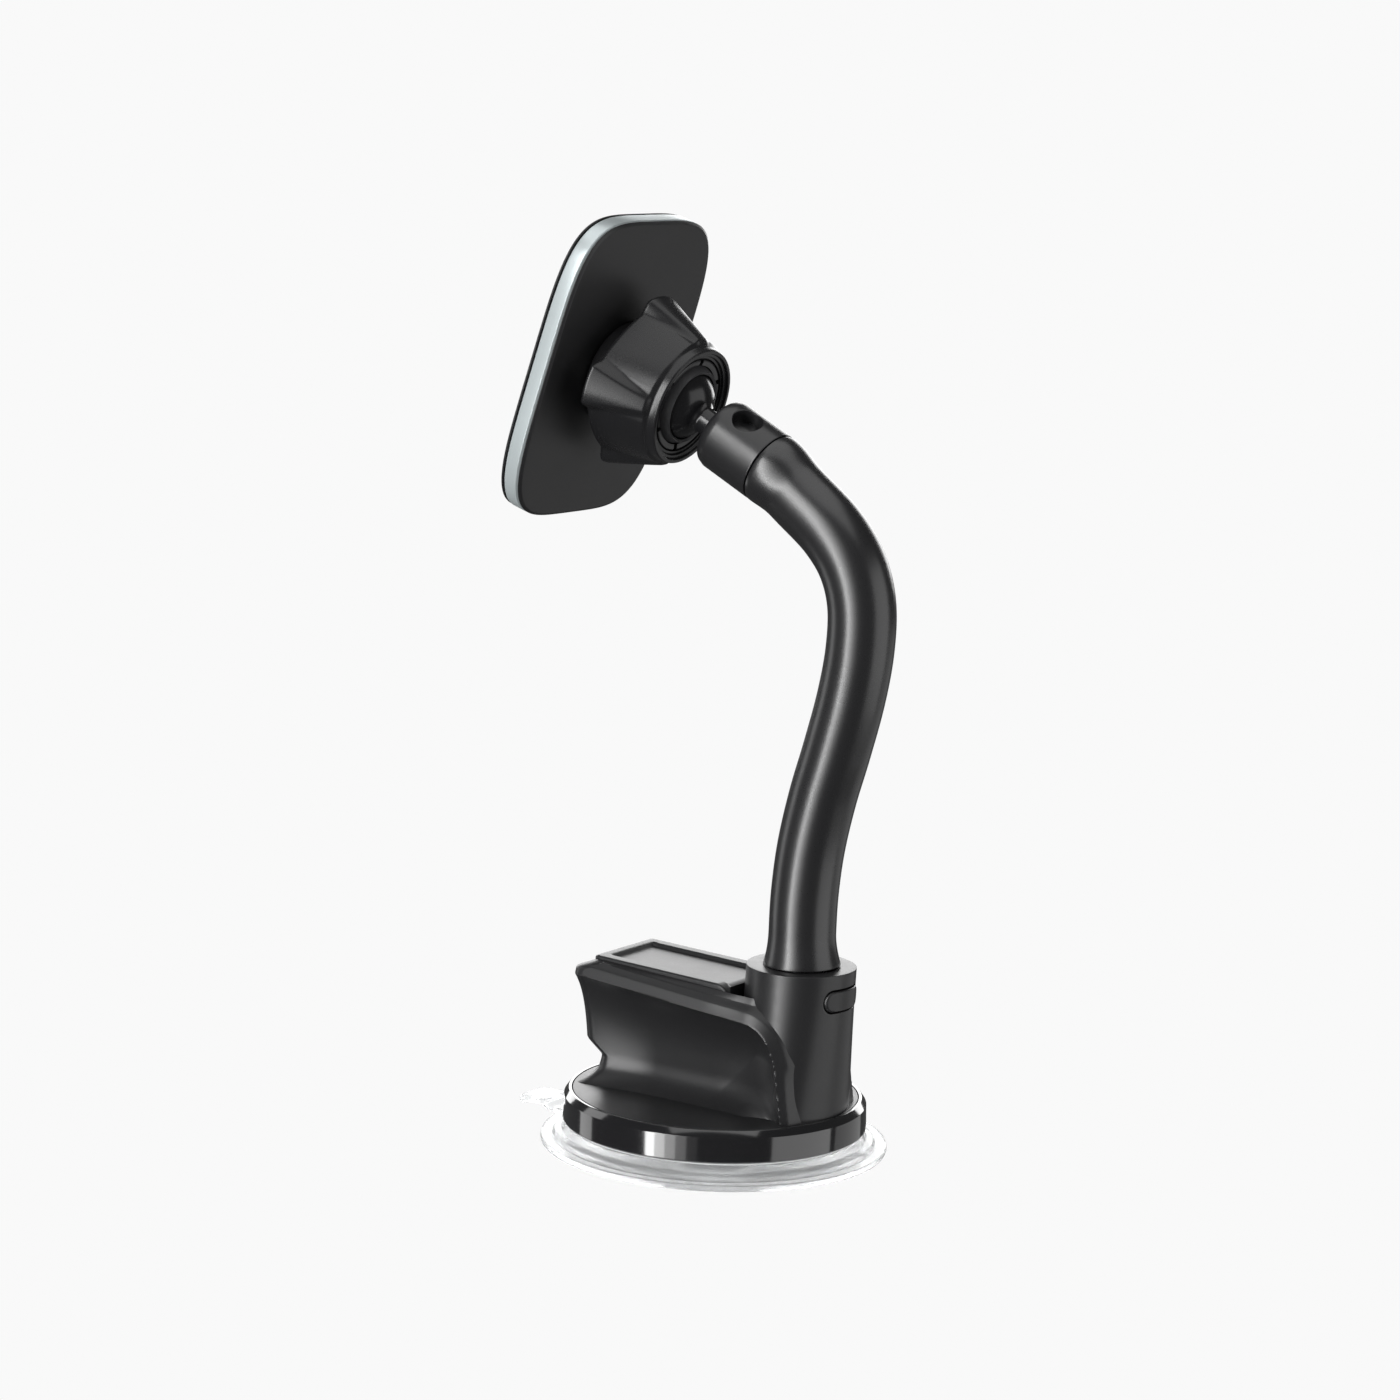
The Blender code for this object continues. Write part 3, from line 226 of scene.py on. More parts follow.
def math_node(tree, operation, a, b, clamp=False):
    """Math node whose two inputs are sockets or numbers."""
    node = tree.nodes.new("ShaderNodeMath")
    node.operation = operation
    node.use_clamp = clamp
    feed(tree, a, node.inputs[0])
    feed(tree, b, node.inputs[1])
    return node.outputs[0]


def noise_node(tree, coordinates, scale, detail=3.0, rough=0.55):
    """Noise texture; scale is a socket or a number."""
    node = tree.nodes.new("ShaderNodeTexNoise")
    node.inputs["Detail"].default_value = detail
    node.inputs["Roughness"].default_value = rough
    tree.links.new(coordinates, node.inputs["Vector"])
    feed(tree, scale, node.inputs["Scale"])
    return node.outputs["Fac"]


def make_moulded_grain():
    """Fine spark-eroded grain: two sizes of noise, as a height, and as a change of roughness."""
    inputs = [("Scale", 3000.0), ("Roughness", 0.4), ("Variation", 0.1)]
    group, source, sink = new_group("moulded_grain", inputs, ["Height", "Roughness"])
    fine = noise_node(group, source.outputs["Coordinates"], source.outputs["Scale"], 2.0)
    coarse_scale = math_node(group, "MULTIPLY", source.outputs["Scale"], 0.31)
    coarse = noise_node(group, source.outputs["Coordinates"], coarse_scale, 4.0)
    height = math_node(group, "ADD", math_node(group, "MULTIPLY", fine, 0.65),
                       math_node(group, "MULTIPLY", coarse, 0.35))
    centred = math_node(group, "SUBTRACT", height, 0.5)
    change = math_node(group, "MULTIPLY", centred, source.outputs["Variation"])
    rough = math_node(group, "ADD", source.outputs["Roughness"], change, clamp=True)
    group.links.new(height, sink.inputs["Height"])
    group.links.new(rough, sink.inputs["Roughness"])
    return group


def make_handled():
    """Faint smudges where hands touch, and sparse dust: broad soft noise, and thresholded specks."""
    group, source, sink = new_group("handled", [("Smudge", 0.05), ("Dust", 0.1)], ["Smudges", "Specks"])
    broad = noise_node(group, source.outputs["Coordinates"], 70.0, 4.0, 0.6)
    soft = math_node(group, "SUBTRACT", broad, 0.5)
    group.links.new(math_node(group, "MULTIPLY", soft, source.outputs["Smudge"]), sink.inputs["Smudges"])
    fine = noise_node(group, source.outputs["Coordinates"], 2600.0, 1.0)
    over = math_node(group, "MULTIPLY", math_node(group, "SUBTRACT", fine, 0.70), 12.0, clamp=True)
    patch = noise_node(group, source.outputs["Coordinates"], 180.0, 2.0)
    where = math_node(group, "MULTIPLY", math_node(group, "SUBTRACT", patch, 0.45), 4.0, clamp=True)
    specks = math_node(group, "MULTIPLY", over, where)
    group.links.new(math_node(group, "MULTIPLY", specks, source.outputs["Dust"]), sink.inputs["Specks"])
    return group


MOULDED_GRAIN = make_moulded_grain()
HANDLED = make_handled()
print("groups", [group.name for group in bpy.data.node_groups])

# %% [markdown]
# A finish is then a Principled shader with its plain values set on its own sockets, and the two
# groups feeding only what changes over the surface: the roughness, a trace of colour where dust
# lies, and the height of a Bump node. All patterns read Object coordinates. The pieces sit at
# the origin with their place in their mesh, so one metre of pattern is one metre of object.

# %% Moulded finishes
def place_group(tree, group, values):
    """Group node reading Object coordinates, with its own values."""
    node = tree.nodes.new("ShaderNodeGroup")
    node.node_tree = group
    where = tree.nodes.new("ShaderNodeTexCoord")
    tree.links.new(where.outputs["Object"], node.inputs["Coordinates"])
    for label, value in values.items():
        node.inputs[label].default_value = value
    return node


def add_detail(tree, grain_values, handled_values, depth, distance):
    """Grain and smudges into the Principled node's roughness, grain into its normal by a bump."""
    shader = tree.nodes["Principled BSDF"]
    grain = place_group(tree, MOULDED_GRAIN, grain_values)
    handled = place_group(tree, HANDLED, handled_values)
    rough = math_node(tree, "ADD", grain.outputs["Roughness"], handled.outputs["Smudges"], clamp=True)
    tree.links.new(rough, shader.inputs["Roughness"])
    bump = tree.nodes.new("ShaderNodeBump")
    bump.inputs["Strength"].default_value = depth
    bump.inputs["Distance"].default_value = distance
    tree.links.new(grain.outputs["Height"], bump.inputs["Height"])
    tree.links.new(bump.outputs["Normal"], shader.inputs["Normal"])
    return handled


def finish(name, colour, roughness, grain=3000.0, depth=0.02, variation=0.12, smudge=0.06, dust=0.1,
           metallic=0.0, specular=0.5, coat=0.0, coat_roughness=0.1, sheen=0.0):
    """Principled material with moulded grain, smudges and dust; depth is the bump's strength."""
    mat = bpy.data.materials.new(name)
    mat.use_nodes = True
    tree = mat.node_tree
    shader = tree.nodes["Principled BSDF"]
    shader.inputs["Metallic"].default_value = metallic
    shader.inputs["Specular IOR Level"].default_value = specular
    shader.inputs["Coat Weight"].default_value = coat
    shader.inputs["Coat Roughness"].default_value = coat_roughness
    shader.inputs["Sheen Weight"].default_value = sheen
    values = {"Scale": grain, "Roughness": roughness, "Variation": variation}
    handled = add_detail(tree, values, {"Smudge": smudge, "Dust": dust}, depth, 0.0004)
    mix = tree.nodes.new("ShaderNodeMix")
    mix.data_type = "RGBA"
    mix.inputs["A"].default_value = (*colour, 1.0)
    mix.inputs["B"].default_value = (0.30, 0.29, 0.27, 1.0)
    tree.links.new(handled.outputs["Specks"], mix.inputs["Factor"])
    tree.links.new(mix.outputs["Result"], shader.inputs["Base Color"])
    mat.diffuse_color = (*colour, 1.0)
    return mat


SATIN_BLACK = finish("satin_black", (0.015, 0.015, 0.016), 0.35, specular=0.6, grain=2600.0,
                     depth=0.020, dust=0.10)
LEVER_BLACK = finish("lever_black", (0.018, 0.018, 0.019), 0.36, grain=2600.0, depth=0.018, dust=0.10)
GLOSS_BLACK = finish("gloss_black", (0.009, 0.009, 0.010), 0.10, grain=900.0, depth=0.003, variation=0.03,
                     smudge=0.04, dust=0.10, specular=0.8, coat=0.6, coat_roughness=0.08)
SOFT_BLACK = finish("soft_black", (0.015, 0.015, 0.016), 0.42, grain=4200.0, depth=0.016, dust=0.06)
SLEEVE_BLACK = finish("sleeve_black", (0.013, 0.013, 0.014), 0.29, specular=0.85, grain=3600.0,
                      depth=0.014, dust=0.06)
NUT_BLACK = finish("nut_black", (0.012, 0.012, 0.013), 0.27, grain=3600.0, depth=0.005,
                   variation=0.04, dust=0.06)
COLLAR_BLACK = finish("collar_black", (0.013, 0.013, 0.014), 0.32, specular=0.7, grain=2600.0,
                      depth=0.014, dust=0.06)
BALL_BLACK = finish("ball_black", (0.011, 0.011, 0.012), 0.20, grain=1500.0, depth=0.004,
                    variation=0.05, dust=0.05)
FACE_RUBBER = finish("face_rubber", (0.028, 0.028, 0.029), 0.62, grain=3200.0, depth=0.06, dust=0.2)
NYLON = finish("nylon", (0.055, 0.055, 0.058), 0.48, grain=1800.0, depth=0.03, dust=0.05)
STEEL = finish("bright_steel", (0.52, 0.53, 0.55), 0.26, grain=1400.0, depth=0.01, metallic=1.0,
               dust=0.04)
NICKEL = finish("nickel", (0.60, 0.59, 0.57), 0.20, grain=1200.0, depth=0.008, metallic=1.0, dust=0.04)
RIM_SILVER = finish("rim_silver", (0.58, 0.64, 0.65), 0.30, grain=5200.0, depth=0.012, variation=0.06,
                    smudge=0.04, dust=0.03, metallic=0.45)
print("finishes", len(bpy.data.materials))

# %% [markdown]
# The pad is a clear soft plastic. Glass-like shading with a plain transmission value does this
# honestly: its edges gather light and its faces let the plate above show through. A slight
# milky roughness and a faint swirl from moulding keep it from looking like cut glass.

# %% Clear pad
def clear_finish():
    """Clear plastic: mostly transmission, a low roughness that the grain varies, a soft swirl."""
    mat = bpy.data.materials.new("clear_tpu")
    mat.use_nodes = True
    tree = mat.node_tree
    shader = tree.nodes["Principled BSDF"]
    shader.inputs["Base Color"].default_value = (0.93, 0.94, 0.945, 1.0)
    shader.inputs["IOR"].default_value = 1.11
    shader.inputs["Transmission Weight"].default_value = 0.90
    shader.inputs["Specular IOR Level"].default_value = 0.35
    values = {"Scale": 260.0, "Roughness": 0.14, "Variation": 0.05}
    add_detail(tree, values, {"Smudge": 0.04, "Dust": 0.0}, 0.05, 0.0006)
    return mat


CLEAR_TPU = clear_finish()
print("clear finish ready")

# %% [markdown]
# ## Suction pad
#
# The pad is a thin clear disc with a thicker shoulder under the ring, and a pull tab that
# bridges up and over. It is turned from one rounded profile. The tab is a strip carried along
# a path in the side view: it leaves the pad's edge, steps up, and ends in a lip to grip.

# %% Pad and pull tab
PAD_R = 37.6
TAB_SIDES = 48


def pad_profile():
    """Radius and height of the pad: flat underside, thin skirt, shoulder, pocket for the stud."""
    corners = [(0.0, 0.0, 0.0), (PAD_R - 0.25, 0.0, 0.2), (PAD_R, 0.5, 0.3), (PAD_R - 0.1, 1.35, 0.35),
               (35.2, 1.45, 0.8), (34.5, 2.35, 0.8), (33.2, 2.9, 0.6), (32.2, 4.25, 0.4), (9.4, 4.25, 0.3),
               (9.0, 1.9, 0.3), (0.0, 1.9, 0.0)]
    return rounded(corners) * MM


def pull_tab():
    """Tab: a rounded bar whose centre line (y, z) rises at the web, arches, and droops at the grip."""
    corners = [(-35.6, 0.75, 0.0), (-40.6, 0.75, 0.9), (-42.4, 1.95, 1.2), (-47.6, 1.9, 1.6),
               (-48.9, 1.35, 0.0)]
    path = rounded(corners, 8) * MM
    steps = np.linspace(0, 1, 60)
    run = np.concatenate([[0], np.cumsum(np.hypot(*np.diff(path, axis=0).T))])
    run /= run[-1]
    centre = np.stack([np.interp(steps, run, path[:, k]) for k in (0, 1)], -1)
    thick = (0.55 + 0.30 * smooth(0.88, 0.97, steps) + 0.22 * smooth(0.30, 0.5, steps)) * MM
    thick *= np.sqrt(np.clip(1.0 - smooth(0.965, 1.0, steps), 0.02, 1.0))
    wide = (5.0 - 0.5 * smooth(0.96, 1.0, steps)) * MM
    tangent = np.gradient(centre, axis=0)
    tangent /= np.linalg.norm(tangent, axis=1)[:, None]
    normal = np.stack([-tangent[:, 1], tangent[:, 0]], -1)
    angle = np.linspace(0, 2 * math.pi, TAB_SIDES, endpoint=False)
    c, s = np.cos(angle), np.sin(angle)
    x = wide[:, None] * np.sign(c) * np.abs(c) ** 0.35
    offset = thick[:, None] * (np.sign(s) * np.abs(s) ** 0.6)
    grid = np.stack([x, centre[:, :1] + normal[:, :1] * offset, centre[:, 1:] + normal[:, 1:] * offset], -1)
    return closed_ends(grid)


def make_pad():
    """One object: the turned pad, and the tab whose root runs into its edge."""
    pad = Piece().add(turned_grid(pad_profile(), 192), wrap_columns=True)
    pad.add(pull_tab(), wrap_columns=True)
    return pad.build("clear_pad", CLEAR_TPU)


PAD = make_pad()
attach(PAD, "base")
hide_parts("suction_pad")

# %% [markdown]
# ## Base ring
#
# The polished ring is the brightest line of the base. Its wall leans in by a few degrees, as
# a moulded ring must to leave its tool, then a chamfer turns the light, and a small step
# seats the housing. One turned profile, closed on itself.

# %% Ring
def ring_profile():
    """Closed profile of the ring: bore, foot, leaning wall, chamfer, flat top, inner rebate."""
    corners = [(30.6, 4.7, 0.0), (32.6, 4.65, 0.15), (33.0, 5.0, 0.3), (32.8, 10.2, 0.25),
               (31.75, 11.62, 0.22), (31.15, 11.62, 0.12), (31.1, 9.3, 0.1), (30.4, 9.3, 0.1),
               (30.4, 4.7, 0.1), (30.6, 4.7, 0.0)]
    return rounded(corners) * MM


RING = Piece().add(turned_grid(ring_profile(), 256), wrap_columns=True)
RING = RING.build("polished_ring", GLOSS_BLACK)
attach(RING, "base")
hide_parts("base_ring")

# %% [markdown]
# ## Housing
#
# The housing is the hard one: a tongue with a scooped side, a dark flat band that frames the
# scoop along the top and down the tower, a rim strip beside the lever, and a round tower.
# It could be cut from blocks with booleans, but the soft scoop would be lost. Instead the
# side is a height field: for each place (y, z) of the side view a formula gives the half-width
# x. The formula knows how far a place lies inside the scoop's rounded outline. Inside, the
# wall sinks away along a smooth curve; outside, it falls back along a flat band.

# %% The side as a height field
NOSE_Y = -29.2 * MM
WELL_HALF = 11.4 * MM
WELL_FLOOR = 33.5 * MM
BAND_DROP = 3.4 * MM
SCOOP_CORNER = 8.0 * MM
SCOOP_REAR = 23.2 * MM


def rim_outer(y):
    """Height of the rim's outer edge, falling towards the tower."""
    return 38.7 * MM - 0.083 * (y + 24.2 * MM)


def rim_inner(y):
    """Height of the rim's inner edge beside the lever; it falls less, so the strip leans out."""
    return 38.8 * MM - 0.049 * (y + 24.3 * MM)


def tower_radius(z):
    """Radius of the tower, spreading towards its foot."""
    drop = np.clip((TOWER_TOP - z) / (TOWER_TOP - BASE_TOP), 0.0, 1.0)
    return 11.8 * MM + 2.4 * MM * drop ** 1.5


def scoop_rear(z):
    """Rear edge of the scoop, which sweeps back a little towards the foot."""
    return SCOOP_REAR + 2.6 * MM * np.clip((26.5 * MM - z) / (15.0 * MM), 0.0, 1.0)


def scoop_inset(y, z):
    """How far (y, z) lies inside the scoop's outline, whose upper rear corner is an arc."""
    dy = y - (scoop_rear(z) - SCOOP_CORNER)
    dz = z - (rim_outer(y) - BAND_DROP - SCOOP_CORNER)
    both = (dy > 0) & (dz > 0)
    return SCOOP_CORNER - np.where(both, np.hypot(dy, dz), np.maximum(dy, dz))


def side_half_width(y, z):
    """Half-width of the tongue at (y, z): flat band outside the scoop's outline, hollow inside."""
    dy = y - (scoop_rear(z) - SCOOP_CORNER)
    dz = z - (rim_outer(y) - BAND_DROP - SCOOP_CORNER)
    inset = scoop_inset(y, z)
    turn = np.arctan2(np.maximum(dz, 0.0), np.maximum(dy, 0.0) + 1e-9) / (math.pi / 2)
    slope = 0.95 + (0.38 + 0.14 * smooth(5 * MM, 15 * MM, y) - 0.95) * smooth(0.1, 1.0, turn)
    edge = 14.9 * MM - 0.5 * MM * smooth(5 * MM, 22 * MM, y)
    deep = (4.6 + 2.6 * smooth(-29 * MM, -10 * MM, y)) * MM
    hollow = deep * (1.0 - np.exp(-np.maximum(inset, 0.0) / (6.0 * MM)))
    low = np.clip((24.0 * MM - z) / (8.0 * MM), 0.0, 1.0)
    tuck = 0.9 * np.maximum(-inset - 2.2 * MM, 0.0) + 2.5 * low * np.maximum(-inset - 1.5 * MM, 0.0)
    width = edge - hollow - slope * np.maximum(-inset, 0.0) - tuck
    foot = np.clip((18.5 * MM - z) / (18.5 * MM - BASE_TOP), 0.0, 1.2)
    return width + 5.0 * MM * foot ** 3.0 * (1.0 - smooth(14 * MM, 25 * MM, y))


def nose_reach(z):
    """Front of the nose: chamfer at the rim, plain face, undercut, and a foot fillet."""
    height = z / MM
    corners = np.array([(11.6, -27.5), (12.3, -26.4), (13.4, -25.5), (14.6, -25.0), (17.0, -24.8),
                        (17.4, -24.9), (20.2, -28.0), (20.8, -28.4), (36.7, -29.2), (37.1, -29.0),
                        (38.7, -25.6), (39.0, -25.4)])
    return np.interp(height, corners[:, 0], corners[:, 1]) * MM


print("half-width at mid side", round(float(side_half_width(0.0, 25 * MM)) / MM, 2), "mm")

# %% [markdown]
# The height field becomes a grid that runs from the foot up to the rim, over the rim strip,
# and down the wall of the lever's well. Its columns go from the nose, round a small corner,
# and along the side until they are inside the tower. The other side is its mirror image.

# %% Tongue: one side, then its mirror
def side_columns():
    """Outline parameters: columns across the nose, round its corner, and along the side."""
    corner = np.linspace(-math.pi / 2, 0.0, 13)
    along = np.linspace(0.0, 1.0, 170)[1:]
    return corner, along


def tongue_side(levels=96):
    """Grid of (rows, columns, 3): rows rise from the foot to the rim, then cross to the well."""
    corner, along = side_columns()
    share = np.concatenate([[-0.05], np.linspace(0.0, 1.0, levels) ** 0.92])[:, None]
    radius = 2.8 * MM
    z0 = BASE_TOP + (rim_outer(NOSE_Y) - BASE_TOP) * share
    front = nose_reach(z0)
    centre_y = front + radius
    centre_x = side_half_width(centre_y, z0) - radius
    lead_x = WELL_HALF + (centre_x - WELL_HALF) * np.linspace(0, 1, 4)[:-1]
    lead_x = np.minimum(lead_x, np.maximum(centre_x, 0.0))
    lead_y = np.broadcast_to(front, lead_x.shape)
    corner_x = centre_x + radius * np.cos(corner)
    corner_y = centre_y + radius * np.sin(corner)
    end_y = (29.0 - 4.0 * smooth(24.0 * MM, 33.0 * MM, z0)) * MM
    side_y = centre_y + (end_y - centre_y) * along
    y = np.concatenate([lead_y, corner_y, side_y], axis=1)
    z = BASE_TOP + (rim_outer(y) - BASE_TOP) * share
    x = np.concatenate([lead_x, corner_x, side_half_width(side_y, z[:, -along.size:])], axis=1)
    return np.stack([x, y, z], -1)


def rim_and_well(top):
    """Rows that carry the top edge over the rim strip and down the well's wall."""
    x, y = top[:, 0], top[:, 1]
    inner = np.clip(x - 0.6 * MM, 0.0, WELL_HALF)
    inner_y = np.clip(y + 1.1 * MM * (1 - smooth(-26 * MM, -22 * MM, y)), None, 40 * MM)
    high = rim_inner(inner_y)
    rows = []
    for t, drop in ((0.04, 0.02), (0.12, 0.0), (0.5, 0.0), (0.9, 0.0), (0.975, 0.03), (1.0, 0.10)):
        xx = x + (inner - x) * t
        yy = y + (inner_y - y) * t
        rows.append(np.stack([xx, yy, top[:, 2] + (high - top[:, 2]) * t - drop * MM], -1))
    for depth in (0.5, 2.0, 10.0):
        floor_z = np.maximum(high - depth * MM, WELL_FLOOR)
        rows.append(np.stack([inner, inner_y, floor_z], -1))
    return np.stack(rows)


def tongue():
    """Both sides of the tongue as grids, and the plain front between them."""
    side = tongue_side()
    side = np.concatenate([side, rim_and_well(side[-1])], axis=0)
    mirror = side * np.array([-1.0, 1.0, 1.0])
    z = np.linspace(BASE_TOP - 1.2 * MM, WELL_FLOOR, 60)
    x = np.linspace(-1.0, 1.0, 21)
    half = np.minimum(WELL_HALF, side_half_width(nose_reach(z) + 2.8 * MM, z) - 2.8 * MM)[:, None]
    front = np.stack([half * x, nose_reach(z)[:, None] + 0 * x, z[:, None] + 0 * x], -1)
    return side, mirror, front


print("tongue rows", tongue_side().shape)

# %% [markdown]
# ## Holes in round walls
#
# Two round walls have a hole: the tower has a pill-shaped window for its button, and the
# arm's collar has a round hole. A hole in a grid is made by leaving out a rectangle of quads
# and filling it with loops that change from the rectangle to the hole's outline, then run
# inwards as the hole's wall. No boolean is needed, and the edge can be rounded.

# %% A round wall with a hole
def wall_with_hole(surface, around, levels, window, outline, inwards, wall):
    """Wrapped grid surface(a, b) over around x levels, with a hole.

    window is (first column, last column, first row, last row) of the rectangle left out;
    outline(angle) gives (a, b) of the hole at an angle about the window's middle; wall is a
    list of (growth, depth): the outline scaled by 1 + growth, moved by depth along inwards.
    Returns the main grid, its mask of quads, and the grid of loops.
    """
    a, b = np.meshgrid(around, levels)
    grid = surface(a, b)
    c0, c1, r0, r1 = window
    keep = np.ones((len(levels) - 1, len(around)), bool)
    keep[r0:r1, c0:c1] = False
    bottom = [(around[c], levels[r0]) for c in range(c0, c1)]
    right = [(around[c1], levels[r]) for r in range(r0, r1)]
    top = [(around[c], levels[r1]) for c in range(c1, c0, -1)]
    left = [(around[c0], levels[r]) for r in range(r1, r0, -1)]
    edge = np.array(bottom + right + top + left)
    middle = np.array([(around[c0] + around[c1]) / 2, (levels[r0] + levels[r1]) / 2])
    size = np.array([around[c1] - around[c0], levels[r1] - levels[r0]]) / 2
    angle = np.arctan2((edge[:, 1] - middle[1]) / size[1], (edge[:, 0] - middle[0]) / size[0])
    hole = outline(angle)
    loops = []
    for t in (0.0, 0.35, 0.65, 0.85):
        ab = edge + (hole + (hole - middle) * wall[0][0] - edge) * t
        loops.append(surface(ab[:, 0], ab[:, 1]))
    for growth, depth in wall:
        ab = hole + (hole - middle) * growth
        loops.append(surface(ab[:, 0], ab[:, 1]) + np.asarray(inwards) * depth)
    return grid, keep, np.stack(loops)


# %% [markdown]
# ## Tower, deck and the housing as one piece
#
# The tower is a turned wall whose back half is a flatter ellipse, because a round tower would
# stand over the ring's edge and foul it. Its window is an outline with round ends. The base
# disc, the floor of the lever's well, and the pit for the linkage complete the housing.

# %% Tower with its window
BUTTON_Z = 37.3 * MM
BUTTON_HALF = np.array([6.35, 2.25]) * MM
BUTTON_WRAP = 12.1 * MM
TOWER_EDGE = 42.62 * MM
TOWER_REACH = 30.9 * MM


def tower_surface(angle, z):
    """Tower wall; its back half is an ellipse, y = b sin a, that stays inside the ring."""
    radius = tower_radius(z)
    rise = np.clip((z - BASE_TOP) / (TOWER_TOP - BASE_TOP), 0.0, 1.0)
    reach = np.minimum(radius, TOWER_REACH + 1.4 * MM * rise - TOWER_Y)
    deep = np.where(np.sin(angle) > 0.0, reach, radius)
    return np.stack([radius * np.cos(angle), TOWER_Y + deep * np.sin(angle), z + 0.0 * angle], -1)


def pill_offsets(angle, half):
    """Half-plane outline with round ends: (across, up) at an angle about its middle."""
    straight, radius = half[0] - half[1], half[1]
    c, s = np.cos(angle), np.sin(angle)
    direction = np.stack([c * half[0], s * half[1]], -1)
    direction /= np.linalg.norm(direction, axis=-1)[..., None]
    dx, dz = np.abs(direction[..., 0]), np.abs(direction[..., 1])
    flat = radius / np.maximum(dz, 1e-9)
    b = -dx * straight
    round_end = -b + np.sqrt(np.maximum(b ** 2 - straight ** 2 + radius ** 2, 0.0))
    reach = np.where(flat * dx <= straight, flat, round_end)
    return direction * reach[..., None]


def tower_grids():
    """Wall with the window, and the rounded top with its bore."""
    spread = math.asin(7.4 / 12.0)
    window_columns = np.linspace(math.pi / 2 + spread, math.pi / 2 - spread, 41)
    rest = np.linspace(math.pi / 2 - spread, math.pi / 2 + spread - 2 * math.pi, 132)[1:-1]
    around = np.concatenate([window_columns, rest])
    levels = [np.linspace(10.6, 34.0, 40)[:-1], np.linspace(34.0, 40.6, 23), [41.5, 42.4, TOWER_EDGE / MM]]
    levels = np.concatenate(levels) * MM
    grown = BUTTON_HALF + 0.30 * MM

    def outline(angle):
        offset = pill_offsets(math.pi - angle, grown)
        return np.stack([math.pi / 2 + offset[:, 0] / BUTTON_WRAP, BUTTON_Z + offset[:, 1]], -1)

    wall = [(0.03, 0.0), (0.012, 0.05 * MM), (0.0, 0.2 * MM), (0.0, 4.5 * MM)]
    window = (0, 40, 39, 61)
    grid, keep, loops = wall_with_hole(
        tower_surface, around, levels, window, outline, (0.0, -1.0, 0.0), wall)
    keep &= scoop_inset(grid[:-1, :, 1], grid[:-1, :, 2]) < -1.0 * MM
    edge = rounded([(11.80, 42.6, 0.0), (11.8, 43.0, 0.35), (8.0, 43.0, 0.3), (7.9, 40.0, 0.0)], 6) * MM
    ring = tower_surface(around, TOWER_EDGE)
    share = edge[:, :1] / tower_radius(TOWER_EDGE)
    y = TOWER_Y + (ring[:, 1] - TOWER_Y) * share
    cap = np.stack([ring[:, 0] * share, y, edge[:, 1:] + 0 * around], -1)
    return grid, keep, loops, cap


def rectangle_loops(sizes):
    """Rectangles at heights: rows of (half x, low y, high y, z) in millimetres."""
    angle = np.linspace(0, 2 * math.pi, 96, endpoint=False) + math.pi / 96
    half, low, high, z = np.array(sizes).T[:, :, None]
    c, s = np.cos(angle), np.sin(angle)
    k = 1.0 / np.maximum(np.abs(c) / half, np.abs(s) / ((high - low) / 2))
    return np.stack([np.clip(c * k, -half, half), (low + high) / 2 + s * k, z + 0 * angle], -1) * MM


def make_housing():
    """Tongue, tower, base disc, well floor and linkage pit as one object."""
    side, mirror, front = tongue()
    grid, keep, loops, cap = tower_grids()
    housing = Piece().add(side).add(mirror).add(front)
    housing.add(grid, wrap_columns=True, keep=keep).add(loops, wrap_columns=True)
    housing.add(cap, wrap_columns=True)
    well = rectangle_loops([(11.45, -28.4, 10.2, 33.5), (6.5, -22.0, 3.9, 33.5), (6.4, -21.9, 3.8, 33.2),
                            (6.4, -21.9, 3.8, 20.0), (3.4, -3.4, 3.4, 19.6)])
    across = np.linspace(-11.45, 11.45, 12)
    level = np.array([[33.4], [38.4]])
    back_wall = np.stack([across + 0 * level, 10.2 + 0 * (across + level), level + 0 * across], -1) * MM
    housing.add(well, wrap_columns=True).add(back_wall)
    disc = rounded([(0.0, 11.6, 0), (30.95, 11.6, 0.25), (30.95, 9.6, 0.2), (29.6, 9.6, 0.2),
                    (29.6, 6.7, 0.2), (27.9, 6.7, 0.2), (27.9, 9.9, 0.3), (0.0, 9.9, 0)], 5) * MM
    housing.add(turned_grid(disc, 192), wrap_columns=True)
    return housing.build("housing_shell", SATIN_BLACK, sharp_deg=50.0, outwards=False)


HOUSING = make_housing()
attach(HOUSING, "base")
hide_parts("base_housing")

# %% [markdown]
# ## Lock lever
#
# The lever is a bar whose cross-section changes along its length: thin at the nose, and round
# like a barrel at its hinge. It could be an extruded outline, but then its edges would be
# sharp. Carrying a rounded rectangle along Y gives every long edge a radius for free. The
# shallow finger recess is a dip in the rows of points that form the top.

# %% Lever
LEVER_HALF = 11.0 * MM
LEVER_NOSE = -26.0 * MM
BARREL = 4.0 * MM


def bar_sections(y, half, low, high, radius, across=49):
    """Rounded rectangles in XZ, one for each y, all with the same number of points."""
    half, low, high, radius = (np.broadcast_to(v, y.shape)[:, None] for v in (half, low, high, radius))
    t = np.linspace(-1.0, 1.0, across)[None, :]
    turn = np.linspace(0.0, math.pi / 2, 8)[None, 1:-1]
    inner, up, down = half - radius, high - radius, low + radius
    s, c = radius * np.sin(turn), radius * np.cos(turn)
    wall = inner + radius + 0 * t[:, :2]
    x = [inner * t, inner + s, wall, inner + c, -inner * t, -inner - s, -wall, -inner - c]
    z = [high + 0 * t, up + c, np.concatenate([up, down], 1), down - s,
         low + 0 * t, down - c, np.concatenate([down, up], 1), up + s]
    x, z = np.concatenate(x, axis=1), np.concatenate(z, axis=1)
    return np.stack([x, np.broadcast_to(y[:, None], x.shape), z], -1)


